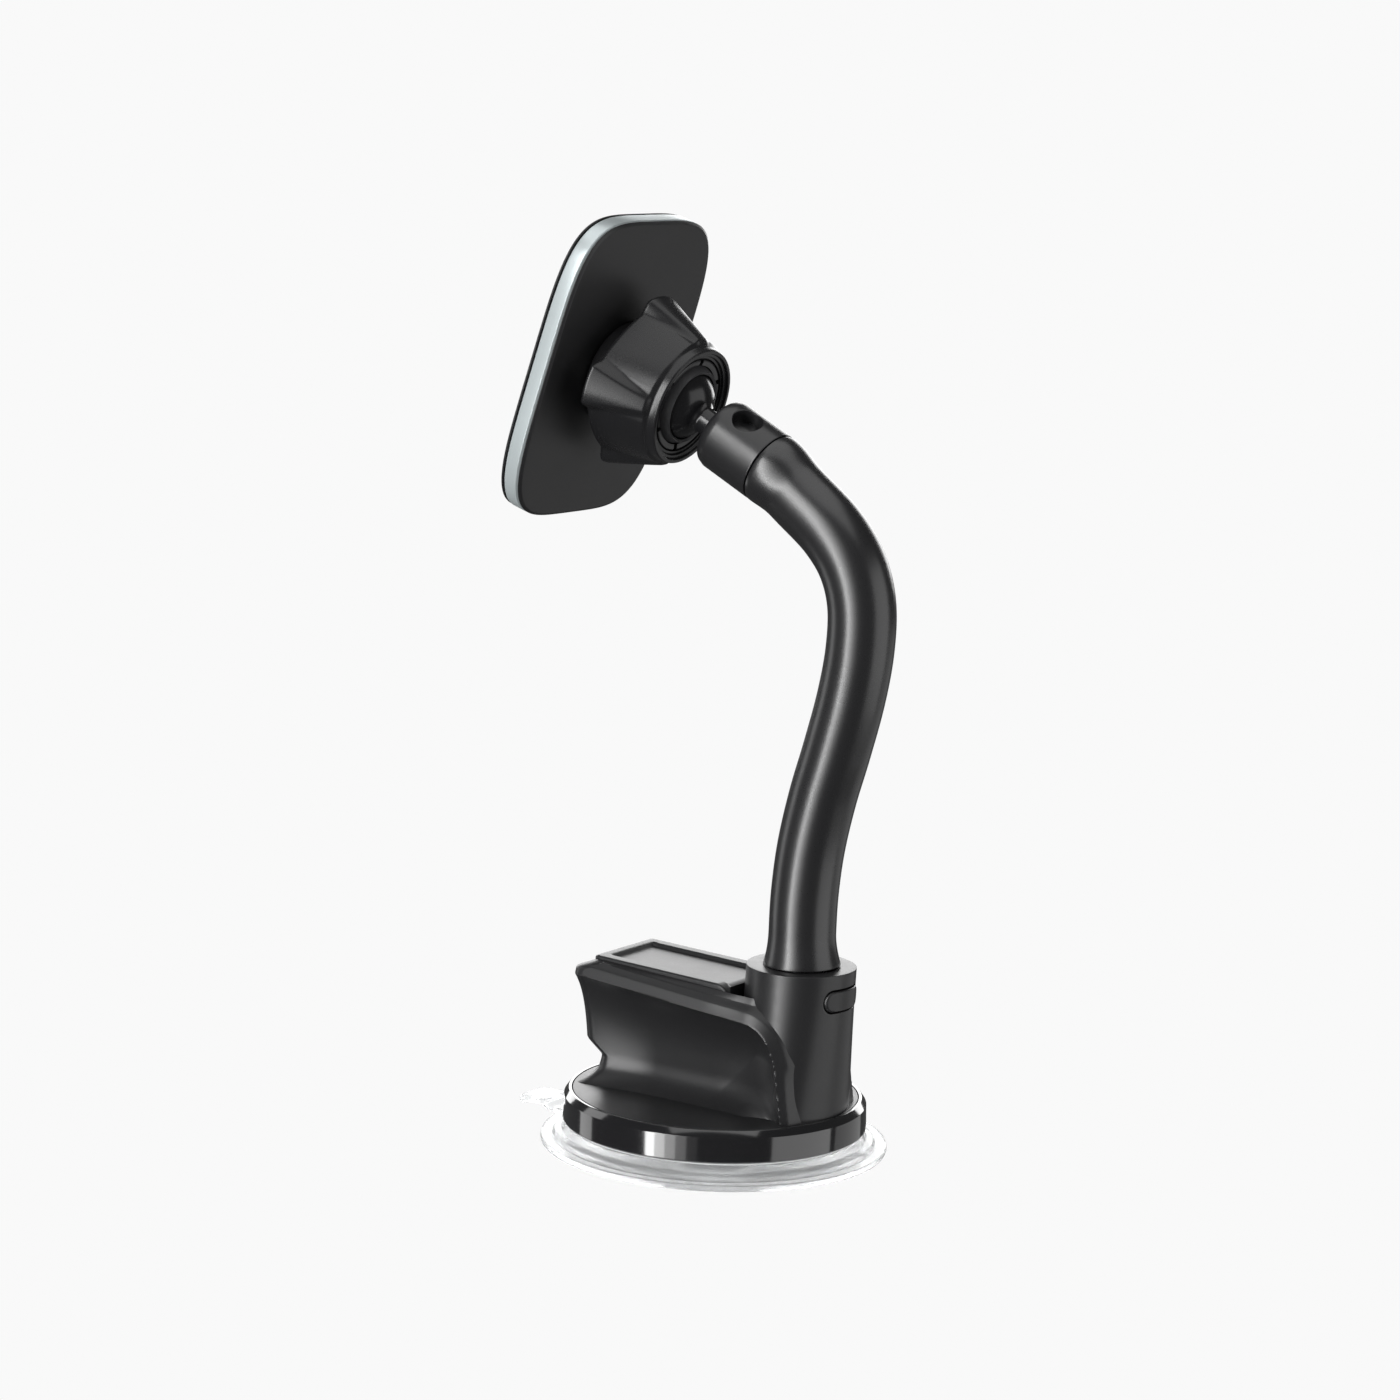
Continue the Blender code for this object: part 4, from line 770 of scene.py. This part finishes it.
def lever_heights(y):
    """Under and upper height of the lever along its length, with the barrel at the hinge."""
    py, pz = LEVER_PIVOT[1], LEVER_PIVOT[2]
    barrel = np.sqrt(np.maximum(BARREL ** 2 - (y - py) ** 2, 0.0))
    top = np.where(y > py, pz + barrel, np.interp(y, [LEVER_NOSE, py], [39.5 * MM, pz + BARREL]))
    under = np.interp(
        y, [py - 5.0 * MM, py - 3.4 * MM, py - 2.4 * MM], [36.2 * MM, 32.6 * MM, pz - 3.3 * MM])
    under = np.where(y > py - 2.4 * MM, pz - barrel, under)
    nose = np.clip((y - LEVER_NOSE) / (1.3 * MM), 0.0, 1.0)
    lift = 1.0 - np.sqrt(1.0 - (1.0 - nose) ** 2)
    return under + 1.1 * MM * lift, top - 0.7 * MM * lift


def make_lever():
    """Lever bar with its finger recess, and the boss that pushes the rocker."""
    nose = LEVER_NOSE + 1.3 * MM * np.linspace(0.0, 1.0, 9) ** 1.8
    plate = np.linspace(nose[-1], 0.5 * MM, 66)[1:]
    end = LEVER_PIVOT[1] + BARREL * np.sin(np.linspace(-1.0, 1.0, 44) * math.pi / 2)
    y = np.unique(np.concatenate([nose, plate, end[end > 0.6 * MM]]))
    low, high = lever_heights(y)
    corner = 1.6 * MM
    away = np.maximum(corner - (y - LEVER_NOSE), 0.0)
    half = LEVER_HALF - corner + np.sqrt(corner ** 2 - away ** 2)
    grid = bar_sections(y, half, low, high, np.minimum(0.55 * MM, 0.45 * (high - low)))
    top = grid[:, :49]
    edge = 1.0 - smooth(7.6 * MM, 8.3 * MM, np.abs(top[..., 0]))
    start = smooth(-23.4 * MM, -22.4 * MM, top[..., 1])
    room = smooth(0.0, 2.0 * MM, high - low)[:, None]
    top[..., 2] -= 0.8 * MM * edge * start * room
    ends = []
    for row in (0, -1):
        middle = np.copy(grid[row])
        middle[:, 2] = (low[row] + high[row]) / 2
        ends.append(middle[None])
    lever = Piece().add(np.concatenate([ends[0], grid, ends[1]]), wrap_columns=True)
    boss_y = np.linspace(-12.6, -9.6, 10) * MM
    boss = bar_sections(boss_y, 4.0 * MM, 26.8 * MM, 37.0 * MM, 0.5 * MM, 9)
    lever.add(closed_ends(boss), wrap_columns=True)
    return lever.build("lever_bar", LEVER_BLACK, sharp_deg=50.0)


LEVER = make_lever()
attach(LEVER, "lever")
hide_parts("lock_lever")

# %% [markdown]
# ## Release button
#
# The button is a pill-shaped cap on the back of the tower. Its face is the tower's own surface
# with a small lift, so the two read as one skin. Loops of the pill, from its middle outwards,
# are laid on that surface and then run inwards as the cap's wall.

# %% Button
def make_button():
    """Cap: pill loops on the tower's surface, a rounded edge, and a wall behind it."""
    angle = np.linspace(0.0, 2 * math.pi, 128, endpoint=False)
    rows = [(t, 0.0, 0.35) for t in np.linspace(0.0, 0.9, 10)]
    rows += [(1.0, -0.30, 0.33), (1.0, -0.12, 0.26), (1.0, -0.03, 0.12), (1.0, 0.0, -0.05), (1.0, 0.0, -3.8)]
    loops = []
    for share, inset, lift in rows:
        offset = pill_offsets(angle, BUTTON_HALF + (inset - 0.05) * MM) * share
        wall = tower_surface(math.pi / 2 - offset[:, 0] / BUTTON_WRAP, BUTTON_Z + offset[:, 1])
        loops.append(wall + np.array([0.0, lift, 0.0]) * MM)
    middle = np.repeat(loops[-1].mean(0)[None], len(angle), axis=0)
    grid = np.stack(loops + [middle])
    return Piece().add(grid, wrap_columns=True).build("button_cap", LEVER_BLACK, sharp_deg=50.0)


BUTTON = make_button()
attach(BUTTON, "button")
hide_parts("arm_button")

# %% [markdown]
# ## Flexible arm
#
# The arm is a steel spine in a rubber sleeve, bent by hand. It bends at four places in the frame,
# so the sleeve is four tubes, each of which crosses one bend. They are carried along one smooth
# curve through a few points, and they meet half-way between the bends, where nothing turns. The
# tubes stay where they are built and are not attached to a body.

# %% Sleeve
ROUTE = np.array([(20.6, 43.3), (20.4, 50.3), (20.6, 59.0), (21.7, 69.0), (24.0, 79.8), (27.0, 90.4),
                  (29.9, 101.9), (31.5, 112.4), (31.35, 121.8), (28.7, 129.6), (23.6, 136.0), (16.0, 141.9),
                  (7.4, 147.9)]) * MM
BENDS = (0.135, 0.285, 0.455, 0.760)
NECK_R = 7.2 * MM
COLLAR_R = 7.9 * MM


def neck_curve(samples=3200):
    """Catmull-Rom curve through ROUTE: points (y, z) and the length run at each."""
    last = BALL_CENTRE[1:] - ROUTE[-1]
    step = np.linalg.norm(ROUTE[-1] - ROUTE[-2])
    beyond = ROUTE[-2] + 2 * step * last / np.linalg.norm(last)
    knots = np.concatenate([[2 * ROUTE[0] - ROUTE[1]], ROUTE, [beyond]])
    t = np.linspace(0.0, len(ROUTE) - 1.0, samples)
    index = np.minimum(t.astype(int), len(ROUTE) - 2)
    u = (t - index)[:, None]
    a, b, c, d = (knots[index + k] for k in range(4))
    points = 0.5 * (2 * b + (c - a) * u + (2 * a - 5 * b + 4 * c - d) * u ** 2
                    + (3 * b - a - 3 * c + d) * u ** 3)
    run = np.concatenate([[0.0], np.cumsum(np.linalg.norm(np.diff(points, axis=0), axis=1))])
    return points, run


CURVE, RUN = neck_curve()
NECK_LENGTH = RUN[-1]


def neck_at(run):
    """Centre points (x, y, z) and unit tangents at lengths along the arm."""
    y, z = (np.interp(run, RUN, CURVE[:, k]) for k in (0, 1))
    slope = np.gradient(CURVE, axis=0)
    ty, tz = (np.interp(run, RUN, slope[:, k]) for k in (0, 1))
    size = np.hypot(ty, tz)
    zero = np.zeros_like(y)
    return np.stack([zero, y, z], -1), np.stack([zero, ty / size, tz / size], -1)


def sleeve_radius(run):
    """Flare at the tower, plain length, then as wide as the collar where they meet."""
    flare = np.maximum(0.0, 1.0 - run / (7.0 * MM))
    swell = 1.0 - smooth(1.0 * MM, 8.0 * MM, NECK_LENGTH - run)
    return NECK_R + 1.1 * MM * flare ** 2 + (COLLAR_R - NECK_R) * swell


def neck_tube(low, high, sides=96):
    """Circles of the sleeve's radius across the curve, from one length to another."""
    run = np.linspace(low, high, max(8, int((high - low) / (0.6 * MM))))
    centre, tangent = neck_at(run)
    side = np.array([1.0, 0.0, 0.0])
    up = np.cross(tangent, side)
    angle = np.linspace(0.0, 2 * math.pi, sides, endpoint=False)[None, :, None]
    ring = np.cos(angle) * side + np.sin(angle) * up[:, None]
    return centre[:, None] + ring * sleeve_radius(run)[:, None, None], centre, ring


def make_sleeve():
    """Four tubes between the half-way places, with the two free ends turned in."""
    stops = [0.0] + [(a + b) / 2 for a, b in zip(BENDS[:-1], BENDS[1:])] + [1.0]
    for number, (low, high) in enumerate(zip(stops[:-1], stops[1:])):
        grid, centre, ring = neck_tube(low * NECK_LENGTH, high * NECK_LENGTH)
        if number == 0:
            tangent = (grid[1] - grid[0]) * 0.5
            lip = ((4.7, -0.6), (8.0, -0.6), (8.25, -0.3))
            start = [centre[0] + ring[0] * r * MM + tangent * k for r, k in lip]
            grid = np.concatenate([np.stack(start), grid])
        if number == 3:
            finish_ring = [centre[-1] + ring[-1] * r * MM for r in (7.75, 4.0)]
            grid = np.concatenate([grid[:-1], np.stack(finish_ring)])
        tube = Piece().add(grid, wrap_columns=True).build(f"sleeve_tube_{number + 1}", SLEEVE_BLACK)
        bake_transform(tube)
        covered = [1, 2] if number == 0 else [number + 2]
        for node in covered:
            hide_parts(f"neck_sleeve_{node}", f"neck_core_{node}")


make_sleeve()
print("arm length", round(NECK_LENGTH / MM, 2), "mm")

# %% [markdown]
# ## Collar and ball stud
#
# The arm ends in a plain ferrule with a domed front and a round hole in its upper side. The
# hole is made like the tower's window. The ball and its short neck are one turned piece on
# the same axis, with a fillet where the neck leaves the ball.

# %% Collar with its hole
ARM_AXIS = np.append(0.0, ROUTE[-1]) - BALL_CENTRE
SEAM_AT = np.linalg.norm(ARM_AXIS)
ARM_AXIS = ARM_AXIS / SEAM_AT
ARM_AXES = np.stack([np.array([1.0, 0.0, 0.0]), np.cross(ARM_AXIS, [1.0, 0.0, 0.0]), ARM_AXIS])
HOLE_AT = 19.7 * MM
HOLE_R = 3.3 * MM
HOLE_DEPTH = 3.0 * MM
HOLE_TURN = math.radians(24.5 - 90.0)


def make_collar():
    """Round wall with a hole, a domed front, and a turned-in back edge."""
    spread = 0.50
    window = np.linspace(HOLE_TURN - spread, HOLE_TURN + spread, 29)
    around = np.concatenate([window, np.linspace(window[-1], window[0] + 2 * math.pi, 70)[1:-1]])
    levels = [[15.0, 15.5], np.linspace(15.9, 23.5, 27), np.linspace(23.5, 27.0, 8)[1:]]
    levels = np.concatenate(levels) * MM

    def wall(angle, height):
        return round_axis(COLLAR_R, height, angle)

    def outline(angle):
        across = np.arcsin(HOLE_R * np.cos(angle) / COLLAR_R)
        return np.stack([HOLE_TURN + across, HOLE_AT + HOLE_R * np.sin(angle)], -1)

    inwards = (-math.cos(HOLE_TURN), -math.sin(HOLE_TURN), 0.0)
    depths = [(0.06, 0.0), (0.02, 0.05 * MM), (0.0, 0.2 * MM), (0.0, 1.6 * MM), (0.0, HOLE_DEPTH),
              (-1.0, HOLE_DEPTH)]
    grid, keep, loops = wall_with_hole(wall, around, levels, (0, 28, 2, 28), outline, inwards, depths)
    dome = [(3.2, 14.6, 0), (3.2, 12.2, 0.3), (5.2, 12.25, 0.9), (7.4, 13.3, 1.4), (7.9, 15.0, 0)]
    back = [(7.9, 27.0, 0), (7.9, 27.35, 0.25), (4.6, 27.35, 0.1), (4.6, 24.0, 0)]
    collar = Piece().add(place(grid, ARM_AXES, BALL_CENTRE), wrap_columns=True, keep=keep)
    collar.add(place(loops, ARM_AXES, BALL_CENTRE), wrap_columns=True)
    for profile in (rounded(dome, 8), rounded(back, 5)):
        turned = round_axis(profile[:, :1] * MM, profile[:, 1:] * MM, around)
        collar.add(place(turned, ARM_AXES, BALL_CENTRE), wrap_columns=True)
    return collar.build("arm_ferrule", COLLAR_BLACK, sharp_deg=50.0)


COLLAR = make_collar()
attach(COLLAR, "arm_end")
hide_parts("arm_collar")

# %% Ball and its neck
BALL_R = 8.5 * MM


def make_ball():
    """Sphere r = R cos t, h = R sin t, then a fillet and a straight neck."""
    leave = math.acos(3.6 / 8.5)
    t = np.linspace(-math.pi / 2, leave, 72)
    sphere = np.stack([BALL_R * np.cos(t), BALL_R * np.sin(t)], -1)
    neck = rounded([(*sphere[-1] / MM, 0), (2.9, 8.6, 0.9), (2.9, 20.0, 0.3), (0.0, 20.4, 0)], 8)
    grid = turned_grid(np.concatenate([sphere, neck[1:] * MM]), 128)
    ball = Piece().add(place(grid, ARM_AXES, BALL_CENTRE), wrap_columns=True)
    return ball.build("ball_and_neck", BALL_BLACK)


BALL = make_ball()
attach(BALL, "arm_end")
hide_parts("ball_stud")

# %% [markdown]
# ## Collet and liner
#
# The collet is a cup cut by slits into six fingers, so that the nut can close it on the ball.
# A slit has parallel sides, so its angle grows towards the axis: asin(half slit / radius).
# Each finger is a grid between two slits, and its two chains, outer and inner, close into a
# loop. The liner between collet and ball is a thin turned ring.

# %% Collet fingers, root and liner
SLIT = 0.6 * MM
CUP_R, CUP_AT = 9.7, BALL_HEIGHT / MM


def in_head(points):
    """Points given across, along and out of the head's back, set in the row frame."""
    return place(points, HEAD_AXES, HEAD_CENTRE)


def finger(turn, columns=22):
    """One finger from height 11 to the mouth, between the slits at turn and turn + 60 degrees."""
    outer = rounded([(11.2, 11.0, 0), (11.2, 17.4, 0.5), (10.35, 19.75, 0.35), (9.95, 19.9, 0.0)], 5)
    rise = np.linspace(19.7, 11.0, 14)
    inner = np.stack([np.sqrt(CUP_R ** 2 - (rise - CUP_AT) ** 2), rise], -1)
    loop = np.concatenate([outer, inner]) * MM
    share = np.linspace(0.0, 1.0, columns)[None, :]
    gap = np.arcsin(SLIT / loop[:, :1])
    angle = turn + gap + (math.pi / 3 - 2 * gap) * share
    grid = round_axis(loop[:, :1], loop[:, 1:], angle)
    middle = [np.repeat(grid[:, c].mean(0)[None], len(loop), axis=0)[:, None] for c in (0, -1)]
    return in_head(np.concatenate([middle[0], grid, middle[1]], axis=1))


def make_collet():
    """Six fingers on a solid root whose flange sits on the head's back."""
    collet = Piece()
    for number in range(6):
        collet.add(finger(math.radians(30.0 + 60.0 * number)), wrap_rows=True)
    bowl = np.linspace(11.0, 6.6, 12)
    inner = np.stack([np.sqrt(np.maximum(CUP_R ** 2 - (bowl - CUP_AT) ** 2, 0.0)), bowl], -1)
    outer = rounded([(0, 0.3, 0), (11.2, 0.3, 0.2), (11.2, 11.0, 0.0)], 4)
    root = np.concatenate([outer, inner, [[0.0, 6.5]]]) * MM
    collet.add(in_head(turned_grid(root, 96)), wrap_columns=True)
    return collet.build("collet_fingers", COLLAR_BLACK)


def make_liner():
    """Thin seat: two sphere arcs, 8.8 and 9.4 mm, closed at both rims."""
    t = np.radians(np.linspace(-50.0, 32.0, 30))
    arcs = [np.stack([r * np.cos(a), CUP_AT + r * np.sin(a)], -1) for r, a in ((9.4, t), (8.8, t[::-1]))]
    loop = np.concatenate(arcs) * MM
    liner = Piece().add(in_head(turned_grid(loop, 96)), wrap_rows=True, wrap_columns=True)
    return liner.build("seat_ring", NYLON)


COLLET = make_collet()
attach(COLLET, "collet")
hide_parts("collet_socket")
LINER = make_liner()
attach(LINER, "liner")
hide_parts("ball_liner")

# %% [markdown]
# ## Locking nut
#
# Four wedge-shaped grips stand on the nut. They are wide and high at the plate and run out to
# a point at the rear ring; the panels between them are almost flat. A boolean of wedges would
# leave hard seams, so the radius is one formula of height s and angle: a panel part
# V(s) (1 + k (1 / cos(45 deg - |a|) - 1)), plus a grip part of height h(s) whose half-width
# w(s) shrinks as it climbs.

# %% Nut
NUT_LOW, NUT_HIGH = 5.2, 21.0


def nut_radius(height, angle):
    """Outer radius in mm of the nut at a height in mm and an angle."""
    share = (height - NUT_LOW) / (NUT_HIGH - NUT_LOW)
    off = np.abs((angle + math.pi / 4) % (math.pi / 2) - math.pi / 4)
    flat = 1.0 / np.cos(math.pi / 4 - np.maximum(off, np.radians(16.0))) - 1.0
    panel = (15.9 - 2.7 * share) * (1.0 + 0.38 * flat * np.clip(1.0 - share, 0.0, 1.0) ** 0.5)
    fade = np.clip(1.0 - share / 0.98, 0.0, 1.0)
    half = np.radians(6.5 + 10.5 * fade)
    edge = np.radians(6.0 + 3.5 * fade)
    grip = smooth(-0.5, 0.5, (half - off) / edge)
    tall = 2.2 * fade ** 0.85
    crown = 0.5 * fade * np.clip(1.0 - (off / half) ** 2, 0.0, 1.0)
    return panel + grip * (tall + crown)


def make_nut():
    """Outer wall from the formula, then rear ring, two steps, and the bore."""
    angle = np.linspace(0.0, 2 * math.pi, 360, endpoint=False)[None, :]
    height = [5.2 + 0.9 * np.linspace(0, 1, 8) ** 1.6, np.linspace(6.1, 19.4, 74)[1:]]
    height = np.concatenate(height)[:, None]
    ease = np.clip((6.1 - height) / 0.9, 0.0, 1.0)
    outer = nut_radius(height, angle) * (1.0 - 0.055 * (1.0 - np.sqrt(1.0 - ease ** 2)))
    blend_in = smooth(18.2, 19.4, height)
    outer = outer * (1.0 - blend_in) + 13.15 * blend_in
    wall = round_axis(outer, height, angle)
    inside = rounded([(13.15, 19.4, 0), (13.05, 20.6, 0.3), (12.85, 21.0, 0.25), (12.1, 21.0, 0.2),
                      (11.95, 20.3, 0.2), (11.35, 20.3, 0.15), (11.2, 19.7, 0.15), (10.6, 19.7, 0.15),
                      (10.55, 20.1, 0.1), (10.55, 18.6, 0.1), (11.5, 17.2, 0.1), (11.5, 5.2, 0.1)], 4)
    ring = round_axis(inside[:, :1], inside[:, 1:], angle)
    nut = Piece().add(in_head(np.concatenate([wall, ring[1:]]) * MM), wrap_rows=True, wrap_columns=True)
    return nut.build("grip_nut", NUT_BLACK, sharp_deg=60.0)


NUT = make_nut()
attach(NUT, "nut")
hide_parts("locking_nut")

# %% [markdown]
# ## Head
#
# The head is a stack of plates with one outline, a superellipse |x/a|^n + |y/b|^n = 1. Its
# radius at angle t is (|cos t / a|^n + |sin t / b|^n)^(-1/n), so a plate is a list of
# insets and heights, and its edges are rounded like any other profile. The metal band has a
# narrow bevel on each side, which is what draws the thin bright line round the head.

# %% Plates of the head
HEAD_A, HEAD_B, HEAD_POWER = 24.9, 33.7, 4.37


def oval_grid(profile, sides=400):
    """Grid of superellipse loops: profile rows are (inset, height, scale), in millimetres."""
    profile = np.asarray(profile, float)
    angle = np.linspace(0.0, 2 * math.pi, sides, endpoint=False)[None, :]
    a, b = HEAD_A - profile[:, :1], HEAD_B - profile[:, :1]
    c, s = np.cos(angle), np.sin(angle)
    radius = (np.abs(c / a) ** HEAD_POWER + np.abs(s / b) ** HEAD_POWER) ** (-1.0 / HEAD_POWER)
    radius = radius * profile[:, 2:3]
    return in_head(np.stack([radius * c, radius * s, profile[:, 1:2] + 0 * angle], -1) * MM)


def edge_rows(corners, steps=5):
    """(inset, height, 1) rows of a rounded profile."""
    points = rounded(corners, steps)
    return [(inset, height, 1.0) for inset, height in points]


def face_rows(inset, height, dome=0.0):
    """Rows from the middle of a face to its edge; dome is how far the edge lies below."""
    return [(inset, height - dome * t ** 3, t) for t in np.linspace(0.0, 1.0, 24)[:-1]]


def plate(name, rows, mat, nodes, material_slot, closed=False):
    """One plate of the head, made of oval loops."""
    piece = Piece().add(oval_grid(rows), wrap_rows=closed, wrap_columns=True)
    piece = piece.build(name, mat, sharp_deg=50.0)
    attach(piece, "head")
    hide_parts(*nodes)
    return piece


back_edge = [(1.3, -0.14, 0.0), (0.55, -0.18, 0.5), (0.0, -0.62, 0.25), (0.04, -0.78, 0.05), (2.0, -0.8, 0.1),
             (2.0, -4.4, 0.1), (3.2, -4.4, 0.1), (3.2, -1.7, 0.1), (4.0, -1.7, 0.0)]
plate("back_shell", face_rows(1.3, 0.0, 0.14) + edge_rows(back_edge) + face_rows(4.0, -1.7)[::-1],
      SOFT_BLACK, ["head_back_cover"], "soft_black")
band_edge = [(1.7, -1.05, 0.0), (0.42, -1.05, 0.06), (0.0, -1.40, 0.10), (0.0, -4.40, 0.10),
             (0.30, -4.75, 0.06), (1.7, -4.75, 0.05), (1.7, -1.06, 0.0)]
plate("metal_band", edge_rows(band_edge, 4), RIM_SILVER, ["head_rim_band"], "rim_alloy", closed=True)
front_edge = [(0.6, -5.05, 0.0), (0.25, -5.05, 0.1), (0.1, -5.2, 0.1), (0.1, -5.45, 0.15),
              (0.45, -5.75, 0.2), (0.7, -5.75, 0)]
plate("front_shell", face_rows(0.6, -5.05) + edge_rows(front_edge) + face_rows(0.7, -5.75)[::-1],
      SOFT_BLACK, ["head_front_plate"], "soft_black")
pad_edge = [(2.8, -6.05, 0.0), (2.2, -6.05, 0.1), (2.2, -6.55, 0.3), (2.8, -6.55, 0.0)]
plate("grip_face", face_rows(2.8, -6.05) + edge_rows(pad_edge) + face_rows(2.8, -6.55)[::-1], FACE_RUBBER,
      ["face_pad"], "silicone_black")

# %% [markdown]
# ## Finishes for the pieces inside
#
# The linkage, pins, screws and magnets are seen only where a gap lets the eye in, or through
# the clear pad. Their CAD shapes are true enough, so they keep them and only get a finish.

# %% CAD nodes that stay
KEPT = {
    STEEL: ["base_screw_1", "base_screw_2", "base_screw_3", "lever_pivot_pin", "rocker_pin",
            "stud_cross_pin", "return_spring", "arm_foot", "collet_screw", "yoke_plate"],
    NYLON: ["pull_stud", "rocker_arm"],
    SATIN_BLACK: ["base_plate"],
    NICKEL: [f"disc_magnet_{number}" for number in range(1, 9)],
}
for kept_finish, names in KEPT.items():
    for node_name in names:
        NODES[node_name].data.materials.clear()
        NODES[node_name].data.materials.append(kept_finish)
print("kept nodes", sum(len(names) for names in KEPT.values()))

# %% [markdown]
# ## Floor, light and camera
#
# Black plastic shows its lights rather than its colour, so the lights are large and plain. Five
# tall strips at the left of the lens, each dimmer than the last, draw a bright band with one
# soft side down the arm and the tower. A broad dim box stands at the right, a strip behind the
# left shoulder, one box overhead, one low, and a pale wall behind the object that the flat tops
# mirror. The floor is a plain pale sheet.

# %% Floor and surround
def seen_by_lens(tree):
    """Socket that is 1 where the lens looks, straight or through the clear pad, and else 0."""
    path = tree.nodes.new("ShaderNodeLightPath")
    return math_node(tree, "MAXIMUM", path.outputs["Is Camera Ray"], path.outputs["Is Transmission Ray"])


def plain_surround():
    """Pale world for the lens, dim grey for everything that the object mirrors."""
    world = bpy.data.worlds.new("surround")
    bpy.context.scene.world = world
    world.use_nodes = True
    tree = world.node_tree
    tree.nodes.clear()
    sink = tree.nodes.new("ShaderNodeOutputWorld")
    mix = tree.nodes.new("ShaderNodeMixShader")
    tree.links.new(seen_by_lens(tree), mix.inputs[0])
    for slot, strength in ((1, DIM_SURROUND), (2, PALE)):
        glow = tree.nodes.new("ShaderNodeBackground")
        glow.inputs["Color"].default_value = (1.0, 1.0, 1.0, 1.0)
        glow.inputs["Strength"].default_value = strength
        tree.links.new(glow.outputs[0], mix.inputs[slot])
    tree.links.new(mix.outputs[0], sink.inputs[0])


def make_floor():
    """Plain pale disc under the object, self-lit so that it stays even, and dimmer for what it lights."""
    mat = bpy.data.materials.new("floor_pale")
    mat.use_nodes = True
    shader = mat.node_tree.nodes["Principled BSDF"]
    shader.inputs["Base Color"].default_value = (0.0, 0.0, 0.0, 1.0)
    shader.inputs["Roughness"].default_value = 1.0
    shader.inputs["Specular IOR Level"].default_value = 0.0
    shader.inputs["Emission Color"].default_value = (1.0, 1.0, 1.0, 1.0)
    glow = math_node(mat.node_tree, "MULTIPLY", seen_by_lens(mat.node_tree), PALE - FLOOR_GLOW)
    glow = math_node(mat.node_tree, "ADD", glow, FLOOR_GLOW)
    mat.node_tree.links.new(glow, shader.inputs["Emission Strength"])
    radius = np.array([0.0, 0.1, 0.3, 0.8, 2.0, 6.0, 20.0, 60.0])
    floor = Piece().add(turned_grid(np.stack([radius, radius * 0.0 - 0.05 * MM], -1), 96)).build(
        "floor", mat, outwards=False)
    floor.visible_glossy = False
    floor.visible_shadow = False


PALE = 0.947
DIM_SURROUND = 0.07
FLOOR_GLOW = 0.35
plain_surround()
make_floor()
print("floor and surround ready")

# %% Lights, placed round the object by their bearing from the lens
TARGET = Vector((0.0, 0.0, 95.0 * MM))
LENS_AZIMUTH = 123.5
LENS_ELEVATION = 9.64
LENS_ROLL = 2.23
LENS_PLACE = Vector((0.6854, 0.4457, 0.2361))


def bearing(left_deg, rise_deg):
    """Unit vector from the object at so many degrees left of the lens and above the floor."""
    azimuth, rise = math.radians(LENS_AZIMUTH - left_deg), math.radians(rise_deg)
    flat = math.cos(rise)
    return Vector((math.sin(azimuth) * flat, -math.cos(azimuth) * flat, math.sin(rise)))


def soft_box(name, left_deg, rise_deg, distance, width, height, watts):
    """Rectangular area light that faces the object."""
    data = bpy.data.lights.new(name, "AREA")
    data.shape = "RECTANGLE"
    data.size, data.size_y, data.energy = width, height, watts
    light = bpy.data.objects.new(name, data)
    bpy.context.scene.collection.objects.link(light)
    direction = bearing(left_deg, rise_deg)
    light.location = TARGET + direction * distance
    light.rotation_euler = direction.to_track_quat("Z", "Y").to_euler()
    light.visible_camera = False


KEY_STEPS = [(48.0, 12.0), (40.0, 6.0), (32.0, 3.0), (24.0, 1.2), (16.0, 0.2)]
KEY_WIDTH, KEY_HEIGHT = 0.141, 1.30
for step, (left, glow) in enumerate(KEY_STEPS, 1):
    watts = glow * math.pi * KEY_WIDTH * KEY_HEIGHT
    soft_box(f"key_step_{step}", left, 8.0, 1.0, KEY_WIDTH, KEY_HEIGHT, watts)
soft_box("right_fill", -70.0, 0.0, 1.1, 1.1, 1.2, 4.6)
soft_box("left_shoulder", 112.0, 8.0, 1.0, 0.30, 1.2, 1.6)
soft_box("overhead", 0.0, 85.0, 0.9, 1.0, 1.0, 3.4)
soft_box("low_right", -123.0, -27.0, 1.1, 0.8, 0.8, 0.8)
soft_box("pale_wall", 180.0, 12.0, 1.3, 2.2, 0.55, 13.0)
print("lights", len(bpy.data.lights))

# %% [markdown]
# The lens is a long one, 100 mm on a 36 mm frame, about 0.85 m away, so the lines of the
# object stay nearly parallel. It looks slightly down and leans a touch to the side.

# %% Camera
def make_camera():
    """Camera from its bearing: right, up and back vectors, turned by the roll."""
    back = bearing(0.0, LENS_ELEVATION)
    azimuth, roll = math.radians(LENS_AZIMUTH), math.radians(LENS_ROLL)
    right = Vector((math.cos(azimuth), math.sin(azimuth), 0.0))
    up = back.cross(right)
    rolled_right = right * math.cos(roll) + up * math.sin(roll)
    rolled_up = up * math.cos(roll) - right * math.sin(roll)
    matrix = Matrix((rolled_right, rolled_up, back)).transposed().to_4x4()
    matrix.translation = LENS_PLACE
    data = bpy.data.cameras.new("lens")
    data.lens, data.sensor_width, data.clip_start, data.clip_end = 100.0, 36.0, 0.01, 200.0
    camera = bpy.data.objects.new("lens", data)
    camera.matrix_world = matrix
    bpy.context.scene.collection.objects.link(camera)
    bpy.context.scene.camera = camera


make_camera()
bpy.context.scene.view_settings.view_transform = "Standard"
print("camera set")
